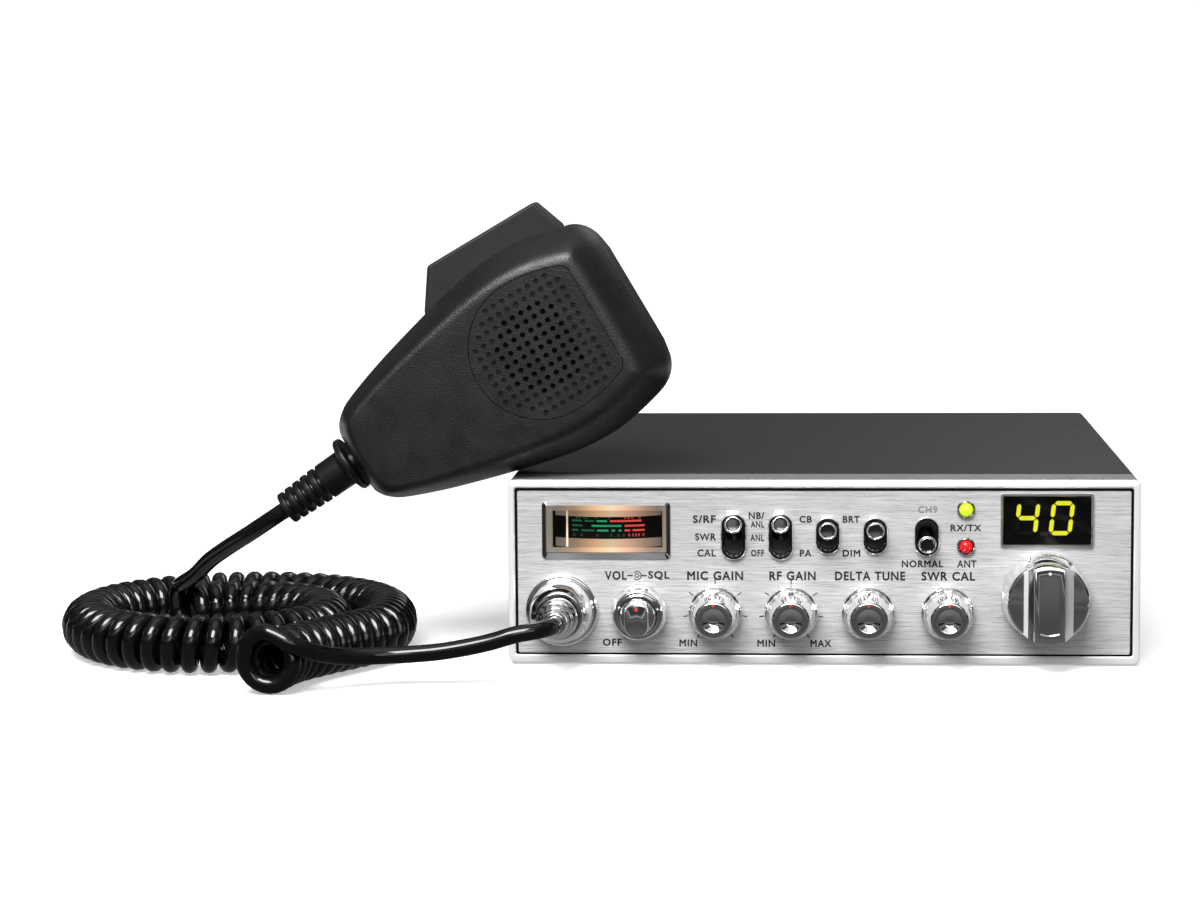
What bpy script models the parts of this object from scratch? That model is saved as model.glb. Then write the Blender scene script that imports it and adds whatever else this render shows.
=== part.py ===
"""Mobile transceiver: a two-way vehicle radio with a hand microphone on a curly cord.

The model is in metres with +Z up. Its origin is the middle of the radio's footprint, on the surface that
the radio stands on, and the controls face -Y. Every dimension below is in millimetres, and the helpers
convert it. Pieces of the microphone are made in the microphone's own frame: u runs from the cord end to
the head, v towards the push-to-talk key, and w out of the grille.
"""
import math

import bmesh
import bpy
from mathutils import Matrix, Vector

MM = 0.001
WELD = 0.00001  # metres, merges only vertices at one place
GAP = 0.3  # between touching pieces

# Radio case
CASE_WIDTH = 186.0
CASE_HEIGHT = 55.6
CASE_DEPTH = 200.0
SHEET = 1.0
CORNER = 2.0
SEAM_Z = 28.35
FRONT = -CASE_DEPTH / 2
REAR = CASE_DEPTH / 2
BEZEL_WIDTH = 186.4
BEZEL_LOW, BEZEL_HIGH = 0.4, 55.3
BEZEL_DEPTH = 15.0
BEZEL_RIM = 2.0
BEZEL_LIP = 3.0
BEZEL_WALL = 0.9
PANEL_FACE = FRONT + 0.8
PANEL_THICK = 2.2
PANEL_SIZE = (181.4, 49.2)
PANEL_MID_Z = 27.7
CHASSIS_WIDTH = 183.2
CHASSIS_FRONT = PANEL_FACE + PANEL_THICK + GAP
CHASSIS_REAR = REAR - 4.0
CHASSIS_Z = (2.5, 53.0)
CHASSIS_SHEET = 1.2
BEHIND_WALL = CHASSIS_FRONT + CHASSIS_SHEET + GAP
BRACKET_HOLE = (0.0, 38.0, 2.6)  # y, z and radius of the bracket screw hole in each side

# Front controls: x and z of each centre
KNOB_Z = 16.0
CONCENTRIC_X = -54.2
SMALL_KNOBS = {"mic_gain": -31.7, "rf_gain": -9.2, "delta_tune": 13.5, "swr_cal": 36.8}
CHANNEL_XZ = (65.5, 20.9)
SOCKET_XZ = (-77.3, 16.3)
SHAFT = 3.0
SHAFT_END = -8.0
BUSHING = 3.9
METER_MID = (-64.0, 40.15)
METER_BEZEL = (38.1, 16.9)
METER_WINDOW = (35.8, 14.3)
METER_SWING_Y = PANEL_FACE + 35.5
NEEDLE_RADIUS = 30.0
NEEDLE_REST = -24.0
DISPLAY_MID = (65.9, 43.25)
DISPLAY_SIZE = (27.2, 15.9)
LAMP_X = 42.2
LAMPS = {"rx_tx_led": 46.5, "antenna_led": 35.6}
TOGGLES = {  # name: x, z, width, height, lever's tilt above straight out in degrees
    "meter_switch": (-26.2, 38.4, 7.8, 14.1, 18.0),
    "noise_switch": (-12.3, 38.4, 7.6, 14.1, 18.0),
    "pa_switch": (1.6, 38.7, 7.6, 11.2, 9.0),
    "dimmer_switch": (15.6, 38.7, 7.6, 11.2, 9.0),
    "channel_nine_switch": (30.7, 38.5, 7.7, 11.8, -7.0),
}
TOGGLE_PIVOT = 7.0  # behind the panel's face
TOGGLE_SLOT = 5.7

# Inside and rear
SPEAKER_XY = (35.0, 30.0)
SPEAKER_RADIUS = 38.5
BOARD = (168.0, 150.0, 1.6)
BOARD_AT = (0.0, 12.0, 30.0)
HEAT_SINK_X = (-84.0, -14.0)
HEAT_SINK_Z = (8.0, 48.0)
HEAT_SINK_FINS = 10
ANTENNA_XZ = (70.0, 34.0)
INLET_XZ = (12.0, 16.0)
INLET_SIZE = (22.0, 12.0)
INLET_POCKET = (18.0, 8.0, 9.0)
JACKS = {"external_speaker_jack": 36.0, "pa_speaker_jack": 50.0}
JACK_Z = 14.0

# Microphone
MIC_ORIGIN = (-142.4, -85.0, 58.1)
MIC_TILT = 30.5
MIC_HALF_DEPTH = 18.0
MIC_WALL = 2.0
MIC_HALF_OUTLINE = [(0.0, 9.5), (1.3, 12.8), (4.2, 15.6), (9.0, 17.8), (24.6, 22.3), (42.3, 26.9), (55.0, 29.9),
                    (66.4, 31.7), (78.6, 31.6), (92.0, 28.7), (96.8, 26.3), (99.6, 22.2), (100.8, 16.0)]
FRONT_LEVELS = [(0.0, 0.0), (3.0, 0.0), (10.0, 0.32), (14.5, 0.7), (17.2, 0.95), (18.0, 1.1)]
REAR_LEVELS = [(0.0, 0.0), (9.0, 0.0), (14.0, 0.26), (17.0, 0.65), (18.0, 1.0)]
KEY_OUTLINE = [(42.0, 20.0), (91.8, 20.0), (91.8, 29.5), (88.4, 39.3), (50.4, 39.3), (42.0, 27.5)]
KEY_W = (-14.8, -0.6)
KEY_PIVOT = (46.0, 23.5)
BOOT_TILT = 34.5
BOOT_LENGTH = 23.6

# Cord
CORD_RADIUS = 2.55
COIL_RADIUS = 8.75
COIL_Z = 8.85
COIL_CENTRE = (-178.0, -76.0)
COIL_START_DEG = 135.0
COIL_SWEEP_DEG = 525.0
COIL_RADII = [(0, 27.0), (45, 26.0), (135, 26.0), (225, 42.0), (315, 46.0), (405, 44.4), (495, 45.6), (525, 51.0)]
COIL_TAIL = [(-146.4, -122.5), (-153.2, -136.0), (-156.2, -149.0)]
PLUG_NOSE = 27.0
PLUG_ROUTE = [(-77.3, -126.5, 16.3), (-77.9, -131.0, 16.3), (-81.5, -135.4, 16.0), (-88.0, -137.0, 15.0),
              (-97.0, -137.0, 12.4), (-110.0, -137.0, 10.0), (-124.0, -138.0, 9.1), (-136.0, -143.0, 9.6),
              (-143.4, -150.4, 12.0), (-149.6, -154.4, 15.0), (-155.6, -153.8, 16.8)]
MIC_ROUTE = [(-162.1, -85.0, 44.5), (-166.8, -84.4, 41.4), (-174.0, -81.5, 36.6), (-182.0, -75.0, 31.4),
             (-189.2, -68.6, 26.2), (-194.4, -64.0, 21.2), (-198.9, -59.6, 16.6)]

FORWARD = Matrix.Rotation(math.radians(90), 4, "X")  # turns a piece's +Z to the front
BACKWARD = Matrix.Rotation(math.radians(-90), 4, "X")
DOWNWARD = Matrix.Rotation(math.radians(180), 4, "X")
UPRIGHT = Matrix.Identity(4)


def fresh_scene():
    for ob in list(bpy.data.objects):
        bpy.data.objects.remove(ob, do_unlink=True)
    collections = []
    for name in ("mobile_transceiver", "cutters"):
        collection = bpy.data.collections.get(name) or bpy.data.collections.new(name)
        if name not in bpy.context.scene.collection.children:
            bpy.context.scene.collection.children.link(collection)
        collections.append(collection)
    return collections


PARTS, CUTTERS = fresh_scene()


def paint(ob, colour, roughness, metallic=0.0, alpha=1.0):
    """Give an object its own Principled material."""
    material = bpy.data.materials.new(ob.name)
    material.use_nodes = True
    shader = material.node_tree.nodes["Principled BSDF"]
    shader.inputs["Base Color"].default_value = (*colour, 1.0)
    shader.inputs["Roughness"].default_value = roughness
    shader.inputs["Metallic"].default_value = metallic
    shader.inputs["Alpha"].default_value = alpha
    ob.data.materials.append(material)
    return ob


def chrome(ob):
    return paint(ob, (0.78, 0.78, 0.8), 0.08, 1.0)


def aluminium(ob):
    return paint(ob, (0.72, 0.72, 0.73), 0.3, 1.0)


def steel(ob):
    return paint(ob, (0.45, 0.45, 0.46), 0.4, 1.0)


def black_plastic(ob):
    return paint(ob, (0.02, 0.02, 0.02), 0.45)


def rubber(ob):
    return paint(ob, (0.012, 0.012, 0.012), 0.35)


def add_object(name, data, at=(0, 0, 0), turn=UPRIGHT, parent=None):
    """Link an object at a place in millimetres, turned by a rotation matrix."""
    ob = bpy.data.objects.new(name, data)
    PARTS.objects.link(ob)
    ob.matrix_local = Matrix.Translation(Vector(at) * MM) @ turn
    ob.parent = parent
    return ob


def guide(name, at, turn=UPRIGHT):
    """An empty that carries pieces."""
    return add_object(name, None, at, turn)


def block(name, low, high, parent=None, soften=0.0):
    """A box between two corners, with its origin at its middle."""
    low, high = Vector(low), Vector(high)
    mesh = bpy.data.meshes.new(name)
    bm = bmesh.new()
    bmesh.ops.create_cube(bm, size=MM)
    bmesh.ops.scale(bm, vec=high - low, verts=bm.verts)
    bm.to_mesh(mesh)
    bm.free()
    ob = add_object(name, mesh, (low + high) / 2, parent=parent)
    if soften:
        bevel(ob, soften)
    return ob


def bevel(ob, width, segments=2, angle=40):
    modifier = ob.modifiers.new("bevel", "BEVEL")
    modifier.width = width * MM
    modifier.segments = segments
    modifier.limit_method = "ANGLE"
    modifier.angle_limit = math.radians(angle)
    return ob


def turned(name, profile, at, turn=FORWARD, steps=18, ring=False, parent=None):
    """A turned piece from (radius, height) points, its outer side listed from top to bottom."""
    mesh = bpy.data.meshes.new(name)
    verts = [Vector((r, 0, z)) * MM for r, z in profile]
    edges = [(i, i + 1) for i in range(len(verts) - 1)]
    if ring:
        edges.append((len(verts) - 1, 0))
    mesh.from_pydata(verts, edges, [])
    ob = add_object(name, mesh, at, turn, parent)
    screw = ob.modifiers.new("screw", "SCREW")
    screw.steps = screw.render_steps = steps
    screw.use_merge_vertices = True
    screw.merge_threshold = WELD
    screw.use_smooth_shade = True
    return ob


def arc(x, y, radius, start, end, count):
    """Points of an arc, in degrees, both ends included."""
    angles = [math.radians(start + (end - start) * i / count) for i in range(count + 1)]
    return [(x + radius * math.cos(a), y + radius * math.sin(a)) for a in angles]


def rounded(mid, size, radius, count=3):
    """A rectangle with round corners, or a stadium when the radius is half its width."""
    x, y = size[0] / 2 - radius, size[1] / 2 - radius
    corners = [(x, y, 0), (-x, y, 90), (-x, -y, 180), (x, -y, 270)]
    points = [p for cx, cy, a in corners for p in arc(mid[0] + cx, mid[1] + cy, radius, a, a + 90, count)]
    return [p for i, p in enumerate(points) if math.dist(p, points[i - 1]) > 1e-6]


def circle(mid, radius, count=12):
    return arc(*mid, radius, 0, 360, count)[:-1]


def slot(mid, width, height):
    return rounded(mid, (width, height), width / 2 - 0.01, 3)


def plate(name, outline, holes, low, high, turn=FORWARD, parent=None, at=(0, 0, 0)):
    """A flat piece with openings. Facing forward, its outline is in x and z and low to high is in y."""
    curve = bpy.data.curves.new(name, "CURVE")
    curve.dimensions = "2D"
    curve.fill_mode = "BOTH"
    curve.extrude = (high - low) / 2 * MM
    for loop in [outline, *holes]:
        spline = curve.splines.new("POLY")
        spline.points.add(len(loop) - 1)
        for point, (x, y) in zip(spline.points, loop):
            point.co = (x * MM, y * MM, 0, 1)
        spline.use_cyclic_u = True
    along = Vector((0, 1, 0)) if turn is FORWARD else Vector((0, 0, 1))
    return as_mesh(add_object(name, curve, Vector(at) + along * (low + high) / 2, turn, parent))


def as_mesh(ob):
    """Replace a curve object by a welded mesh object of the same name, place and parent."""
    bpy.context.view_layer.update()
    evaluated = ob.evaluated_get(bpy.context.evaluated_depsgraph_get())
    mesh = bpy.data.meshes.new_from_object(evaluated)
    bm = bmesh.new()
    bm.from_mesh(mesh)
    bmesh.ops.remove_doubles(bm, verts=bm.verts, dist=WELD)
    bmesh.ops.recalc_face_normals(bm, faces=bm.faces)
    bm.to_mesh(mesh)
    bm.free()
    name, place, parent = ob.name, ob.matrix_local.copy(), ob.parent
    bpy.data.objects.remove(ob, do_unlink=True)
    made = bpy.data.objects.new(name, mesh)
    PARTS.objects.link(made)
    made.parent = parent
    made.matrix_local = place
    return made


def combine(target, tool, operation="DIFFERENCE"):
    """Cut a tool object out of a piece, or join it on, and keep the tool as a hidden guide."""
    PARTS.objects.unlink(tool)
    CUTTERS.objects.link(tool)
    tool.hide_render = True
    tool.display_type = "WIRE"
    modifier = target.modifiers.new(operation.lower(), "BOOLEAN")
    modifier.operation = operation
    modifier.object = tool
    modifier.solver = "EXACT"
    return target


def folded_sheet(name, outline, low, high, thickness):
    """A sheet bent along an open x, z outline and running from low to high in y."""
    mesh = bpy.data.meshes.new(name)
    verts = [Vector((x, y, z)) * MM for y in (low, high) for x, z in outline]
    count = len(outline)
    faces = [(i, i + 1, count + i + 1, count + i) for i in range(count - 1)]
    mesh.from_pydata(verts, [], faces)
    ob = add_object(name, mesh)
    return thicken(ob, thickness)


def thicken(ob, thickness):
    """Give an open surface a wall behind its faces."""
    solid = ob.modifiers.new("wall", "SOLIDIFY")
    solid.thickness = thickness * MM
    solid.offset = -1.0
    solid.use_even_offset = True
    return ob


def smooth_line(points, spacing):
    """Points on a Catmull-Rom curve through the route's own points, about one spacing apart."""
    points = [Vector(p) for p in points]
    ends = [2 * points[0] - points[1], *points, 2 * points[-1] - points[-2]]
    line = [points[0]]
    for a, b, c, d in zip(ends, ends[1:], ends[2:], ends[3:]):
        count = max(1, round((c - b).length / spacing))
        for i in range(1, count + 1):
            t = i / count
            line.append(0.5 * (2 * b + (c - a) * t + (2 * a - 5 * b + 4 * c - d) * t**2
                               + (3 * b - a - 3 * c + d) * t**3))
    return line


def tube(name, line, radius, resolution):
    """A round tube along a line of points in millimetres."""
    curve = bpy.data.curves.new(name, "CURVE")
    curve.dimensions = "3D"
    curve.bevel_depth = radius * MM
    curve.bevel_resolution = resolution
    curve.use_fill_caps = True
    spline = curve.splines.new("POLY")
    spline.points.add(len(line) - 1)
    for point, place in zip(spline.points, line):
        point.co = (*(Vector(place) * MM), 1)
    return add_object(name, curve)


# Radio case ---------------------------------------------------------------------------------------


def case_outline(z_edge, z_flat):
    """Half of the case's section: down or up one side, over the flat face and back."""
    side = CASE_WIDTH / 2
    sign = 1 if z_flat > z_edge else -1
    mid_z = z_flat - sign * CORNER
    left = arc(-side + CORNER, mid_z, CORNER, 180, 180 - sign * 90, 3)
    right = arc(side - CORNER, mid_z, CORNER, sign * 90, 0, 3)
    return [(-side, z_edge), *left, *right, (side, z_edge)]


def make_covers():
    low = FRONT + BEZEL_DEPTH + GAP
    top = folded_sheet("top_cover", case_outline(SEAM_Z + GAP / 2, CASE_HEIGHT), low, REAR, SHEET)
    bottom = folded_sheet("bottom_cover", case_outline(SEAM_Z - GAP / 2, 0.0)[::-1], low, REAR, SHEET)
    paint(top, (0.045, 0.045, 0.047), 0.4, 0.3)
    paint(bottom, (0.045, 0.045, 0.047), 0.4, 0.3)
    combine(top, bracket_cutter("top_bracket_cutter"))
    slots = 9
    for i in range(slots):
        y = (i - (slots - 1) / 2) * 7.0
        half = math.sqrt((SPEAKER_RADIUS - 6.0) ** 2 - y**2)
        x, y = SPEAKER_XY[0], SPEAKER_XY[1] + y
        combine(bottom, block(f"speaker_slot_{i}", (x - half, y - 1.5, -2), (x + half, y + 1.5, 3)))


def bracket_cutter(name):
    """A long rod through both sides at the bracket screw holes."""
    y, z, radius = BRACKET_HOLE
    turn = Matrix.Rotation(math.radians(90), 4, "Y")
    half = CASE_WIDTH / 2 + 5
    return turned(name, [(0, half), (radius, half), (radius, -half), (0, -half)], (0, y, z), turn, 16)


def make_chassis():
    side = CHASSIS_WIDTH / 2
    loop = [(-side, CHASSIS_FRONT), (side, CHASSIS_FRONT), (side, CHASSIS_REAR), (-side, CHASSIS_REAR)]
    mesh = bpy.data.meshes.new("chassis_frame")
    verts = [Vector((x, y, z)) * MM for z in CHASSIS_Z for x, y in loop]
    mesh.from_pydata(verts, [], [(i, (i + 1) % 4, 4 + (i + 1) % 4, 4 + i) for i in range(4)])
    chassis = steel(thicken(add_object("chassis_frame", mesh), CHASSIS_SHEET))
    near, far = CHASSIS_FRONT - 2, CHASSIS_FRONT + 4
    openings = [rounded(METER_MID, (METER_WINDOW[0] + 2.6, METER_WINDOW[1] + 2.6), 0.5, 1),
                rounded(DISPLAY_MID, (DISPLAY_SIZE[0] - 0.6, DISPLAY_SIZE[1] - 0.6), 0.5, 1)]
    openings += [slot((x, z), TOGGLE_SLOT + 0.6, height - 1.4) for x, z, _, height, _ in TOGGLES.values()]
    openings += [circle((LAMP_X, z), 3.4, 8) for z in LAMPS.values()]
    openings += [circle(at, 4.4, 10) for at in knob_places()]
    openings.append(circle(SOCKET_XZ, 8.4))
    for i, outline in enumerate(openings):
        combine(chassis, plate(f"chassis_opening_{i}", outline, [], near, far))
    combine(chassis, bracket_cutter("chassis_bracket_cutter"))
    rear = [circle(ANTENNA_XZ, 6.4), rounded(INLET_XZ, (INLET_SIZE[0] + 0.8, INLET_SIZE[1] + 0.8), 0.5, 1)]
    rear += [circle((x, JACK_Z), 3.4, 8) for x in JACKS.values()]
    for i, outline in enumerate(rear):
        combine(chassis, plate(f"rear_opening_{i}", outline, [], CHASSIS_REAR - 4, CHASSIS_REAR + 2))


def knob_places():
    return [(CONCENTRIC_X, KNOB_Z), *[(x, KNOB_Z) for x in SMALL_KNOBS.values()], CHANNEL_XZ]


def make_bezel():
    mid = (0.0, (BEZEL_LOW + BEZEL_HIGH) / 2)
    height = BEZEL_HIGH - BEZEL_LOW
    inner = (BEZEL_WIDTH - 2 * BEZEL_RIM, height - 2 * BEZEL_RIM - 0.9)
    bezel = plate("front_bezel", rounded(mid, (BEZEL_WIDTH, height), CORNER), [rounded(mid, inner, 0.8, 2)],
                  FRONT, FRONT + BEZEL_DEPTH)
    pocket = rounded(mid, (BEZEL_WIDTH - 2 * BEZEL_WALL, height - 2 * BEZEL_WALL), CORNER - BEZEL_WALL, 2)
    combine(bezel, plate("bezel_pocket", pocket, [], FRONT + BEZEL_LIP, FRONT + BEZEL_DEPTH + 2))
    chrome(bezel)


def make_panel():
    holes = [rounded(METER_MID, (METER_WINDOW[0] + 2.2, METER_WINDOW[1] + 2.2), 0.5, 1),
             rounded(DISPLAY_MID, (DISPLAY_SIZE[0] - 1.0, DISPLAY_SIZE[1] - 1.0), 0.5, 1)]
    holes += [slot((x, z), TOGGLE_SLOT, height - 2.0) for x, z, _, height, _ in TOGGLES.values()]
    holes += [circle((LAMP_X, z), 2.2, 10) for z in LAMPS.values()]
    holes += [circle(at, 4.4) for at in knob_places()]
    holes.append(circle(SOCKET_XZ, 8.2, 16))
    outline = rounded((0.0, PANEL_MID_Z), PANEL_SIZE, 0.8, 2)
    aluminium(plate("front_panel", outline, holes, PANEL_FACE, PANEL_FACE + PANEL_THICK))


# Front controls -----------------------------------------------------------------------------------


def make_meter():
    x, z = METER_MID
    shift = 0.4  # the window sits a little high in its bezel
    bezel = plate("meter_bezel", rounded(METER_MID, METER_BEZEL, 1.0, 2),
                  [rounded((x, z + shift), METER_WINDOW, 0.6, 1)], PANEL_FACE - 1.2, PANEL_FACE - GAP)
    chrome(bezel)
    width, height = METER_WINDOW[0] + 1.6, METER_WINDOW[1] + 1.6
    front, back = PANEL_FACE + 1.4, PANEL_FACE + 41.0
    case = block("meter_case", (x - width / 2, front, z - height / 2), (x + width / 2, back, z + height / 2))
    wall = 0.9
    hollow = block("meter_hollow", (x - width / 2 + wall, front - 2, z - height / 2 + wall),
                   (x + width / 2 - wall, back - wall, z + height / 2 - wall))
    paint(combine(case, hollow), (0.75, 0.68, 0.55), 0.5)
    window = block("meter_window", (x - width / 2 + 0.2, PANEL_FACE, z - height / 2 + 0.2),
                   (x + width / 2 - 0.2, PANEL_FACE + 1.0, z + height / 2 - 0.2))
    paint(window, (0.9, 0.9, 0.9), 0.05, alpha=0.2)
    radius, dial_half = NEEDLE_RADIUS - 1.5, 31.0
    outer = arc(0, 0, radius, 270 - dial_half, 270 + dial_half, 14)
    inner = arc(0, 0, radius - 0.8, 270 + dial_half, 270 - dial_half, 14)
    dial = plate("meter_dial", outer + inner, [], z - 4.0, z + 3.6, UPRIGHT, at=(x, METER_SWING_Y, 0))
    paint(dial, (0.02, 0.05, 0.03), 0.5)
    make_needle(x, z)


def make_needle(x, z):
    """A bent pointer that swings about an upright pivot and stands in front of the curved dial."""
    pivot = guide("needle_pivot", (x, METER_SWING_Y, z), Matrix.Rotation(math.radians(NEEDLE_REST), 4, "Z"))
    half, low, top, reach = 0.35, -6.2, 6.4, -NEEDLE_RADIUS
    needle = block("meter_needle", (-half, reach - half, low), (half, reach + half, top), pivot)
    arm = block("needle_arm", (-half, reach - half, top - 0.8), (half, 3.0, top), pivot)
    hub = block("needle_hub", (-1.2, -1.2, top - 1.8), (1.2, 1.2, top), pivot)
    combine(combine(needle, arm, "UNION"), hub, "UNION")
    paint(needle, (0.9, 0.85, 0.7), 0.4)


def make_display():
    x, z = DISPLAY_MID
    width, height = DISPLAY_SIZE
    frame = plate("display_window", rounded(DISPLAY_MID, DISPLAY_SIZE, 0.8, 2), [], PANEL_FACE - 1.0,
                  PANEL_FACE - GAP)
    pane = block("display_pane", (x - width / 2 + 0.9, PANEL_FACE - 0.8, z - height / 2 + 0.9),
                 (x + width / 2 - 0.9, PANEL_FACE + 1.2, z + height / 2 - 0.9))
    paint(combine(frame, pane, "UNION"), (0.01, 0.01, 0.01), 0.05)
    module = block("channel_display", (x - width / 2 + 1, PANEL_FACE + 1.5, z - height / 2 + 1),
                   (x + width / 2 - 1, PANEL_FACE + 12, z + height / 2 - 1))
    black_plastic(module)


def make_lamps():
    colours = {"rx_tx_led": (0.55, 0.85, 0.05), "antenna_led": (0.8, 0.02, 0.03)}
    dome = [(0, 2.6), (1.0, 2.3), (1.65, 1.6), (1.9, 0.6)]
    stem = [(1.9, -2.4), (2.9, -2.6), (2.9, -3.6), (1.6, -3.6), (1.6, -9.0), (0, -9.0)]
    for name, z in LAMPS.items():
        paint(turned(name, dome + stem, (LAMP_X, PANEL_FACE, z), steps=12), colours[name], 0.15)


def make_toggles():
    for name, (x, z, width, height, tilt) in TOGGLES.items():
        ring = plate(f"{name}_bezel", slot((x, z), width, height), [slot((x, z), TOGGLE_SLOT, height - 2.0)],
                     PANEL_FACE - 1.4, PANEL_FACE - GAP)
        black_plastic(ring)
        lever = [(0, 14.3), (2.1, 14.3), (2.6, 13.8), (2.6, 11.2), (1.6, 9.6), (1.5, 2.6), (2.7, 1.3), (2.7, -1.3),
                 (0, -2.7)]
        turn = Matrix.Rotation(math.radians(-tilt), 4, "X") @ FORWARD
        chrome(turned(f"{name}_lever", lever, (x, PANEL_FACE + TOGGLE_PIVOT, z), turn, 12))
    bar = block("toggle_switch_block", (-33.0, BEHIND_WALL, 29.5), (37.5, BEHIND_WALL + 11, 47.5))
    for i, (x, z, *_) in enumerate(TOGGLES.values()):
        pocket = block(f"toggle_pocket_{i}", (x - 3.2, BEHIND_WALL - 2, z - 6.4),
                       (x + 3.2, BEHIND_WALL + 7.2, z + 6.4))
        combine(bar, pocket)
    black_plastic(bar)


def make_controls():
    """The potentiometers and the selector switch, each with a blind bore for its shaft."""
    bore, tip = SHAFT + 0.3, 0.2
    bodies = {"volume_squelch_pot": ((CONCENTRIC_X, KNOB_Z), 8.0, -22.0),
              "channel_selector_switch": (CHANNEL_XZ, 12.0, -26.0)}
    bodies.update({f"{name}_pot": ((x, KNOB_Z), 8.0, -16.0) for name, x in SMALL_KNOBS.items()})
    wall = PANEL_FACE - BEHIND_WALL
    for name, ((x, z), radius, back) in bodies.items():
        profile = [(0, SHAFT_END - 1), (bore, SHAFT_END - 1), (bore, tip), (BUSHING, tip), (BUSHING, wall),
                   (radius, wall), (radius, back), (0, back)]
        steel(turned(name, profile, (x, PANEL_FACE, z), steps=12))


def make_knobs():
    dish = [(0, 16.4), (2.4, 16.8), (3.5, 18.0), (5.2, 18.0), (5.6, 17.4)]
    skirt = [(6.7, 9.0), (7.2, 4.6), (7.85, 3.6), (7.85, 0.5), (SHAFT, 0.5), (SHAFT, SHAFT_END), (0, SHAFT_END)]
    for name, x in SMALL_KNOBS.items():
        chrome(turned(f"{name}_knob", dish + skirt, (x, PANEL_FACE, KNOB_Z)))
    at = (CONCENTRIC_X, PANEL_FACE, KNOB_Z)
    bore = 2.1
    ring = [(bore, 9.2), (7.1, 9.2), (7.7, 8.6), (7.95, 0.5), (SHAFT, 0.5), (SHAFT, SHAFT_END), (bore, SHAFT_END)]
    chrome(turned("squelch_knob", ring, at, ring=True))
    inner = [(6.1, 9.6), (1.7, 9.6), (1.7, SHAFT_END + 0.5), (0, SHAFT_END + 0.5)]
    chrome(turned("volume_knob", dish + inner, at))
    make_channel_knob()


def make_channel_knob():
    x, z = CHANNEL_XZ
    profile = [(0, 14.6), (10.6, 14.6), (11.3, 13.8), (12.3, 5.0), (12.9, 3.4), (12.9, 0.5), (SHAFT, 0.5),
               (SHAFT, SHAFT_END), (0, SHAFT_END)]
    knob = turned("channel_knob", profile, (x, PANEL_FACE, z), steps=24)
    grip = block("channel_grip", (x - 4.8, PANEL_FACE - 20.0, z - 10.6), (x + 4.8, PANEL_FACE - 10.0, z + 10.6),
                 soften=1.0)
    chrome(combine(knob, grip, "UNION"))


def make_plug():
    """The socket on the panel, the coupling ring screwed on it and the plug that the ring holds."""
    at = (SOCKET_XZ[0], PANEL_FACE, SOCKET_XZ[1])
    socket = [(0, 5.0), (5.6, 5.0), (5.6, 8.8), (7.3, 8.8), (7.3, 2.2), (10.0, 2.2), (10.8, 1.6), (10.8, GAP),
              (7.8, GAP), (7.8, -11.0), (0, -11.0)]
    chrome(turned("mic_socket", socket, at, steps=20))
    ring = [(6.3, 13.0), (6.9, 13.0), (8.2, 11.6), (9.2, 8.4), (9.4, 4.0), (9.4, 2.6), (7.7, 2.6), (7.7, 9.4),
            (6.3, 9.4)]
    chrome(turned("plug_coupling_ring", ring, at, steps=20, ring=True))
    shell = [(0, PLUG_NOSE), (2.9, PLUG_NOSE), (3.6, 26.2), (3.75, 22.6), (4.6, 22.2), (4.6, 18.0), (5.9, 17.2),
             (5.9, 9.2), (5.2, 9.0), (5.2, 5.4), (0, 5.4)]
    chrome(turned("plug_shell", shell, at, steps=16))


# Inside and rear ----------------------------------------------------------------------------------


def make_inside():
    x, y, z = BOARD_AT
    half_x, half_y = BOARD[0] / 2, BOARD[1] / 2
    board = block("main_circuit_board", (x - half_x, y - half_y, z), (x + half_x, y + half_y, z + BOARD[2]))
    paint(board, (0.05, 0.16, 0.06), 0.5)
    low = SHEET + GAP
    at = (*SPEAKER_XY, 0)
    basket = [(0, 26.0), (16.0, 26.0), (16.0, 17.5), (22.0, 17.5), (35.5, 5.0), (SPEAKER_RADIUS, 5.0),
              (SPEAKER_RADIUS, low), (34.5, low), (34.5, 3.6), (20.5, 16.0), (0, 16.0)]
    steel(turned("speaker_basket", basket, at, UPRIGHT))
    cone = [(0, 13.0), (9.0, 12.4), (31.0, 3.4), (33.5, 2.6), (33.5, 2.0), (30.6, 2.6), (8.6, 11.6), (0, 12.2)]
    paint(turned("speaker_cone", cone, at, UPRIGHT), (0.03, 0.03, 0.03), 0.8)


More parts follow.
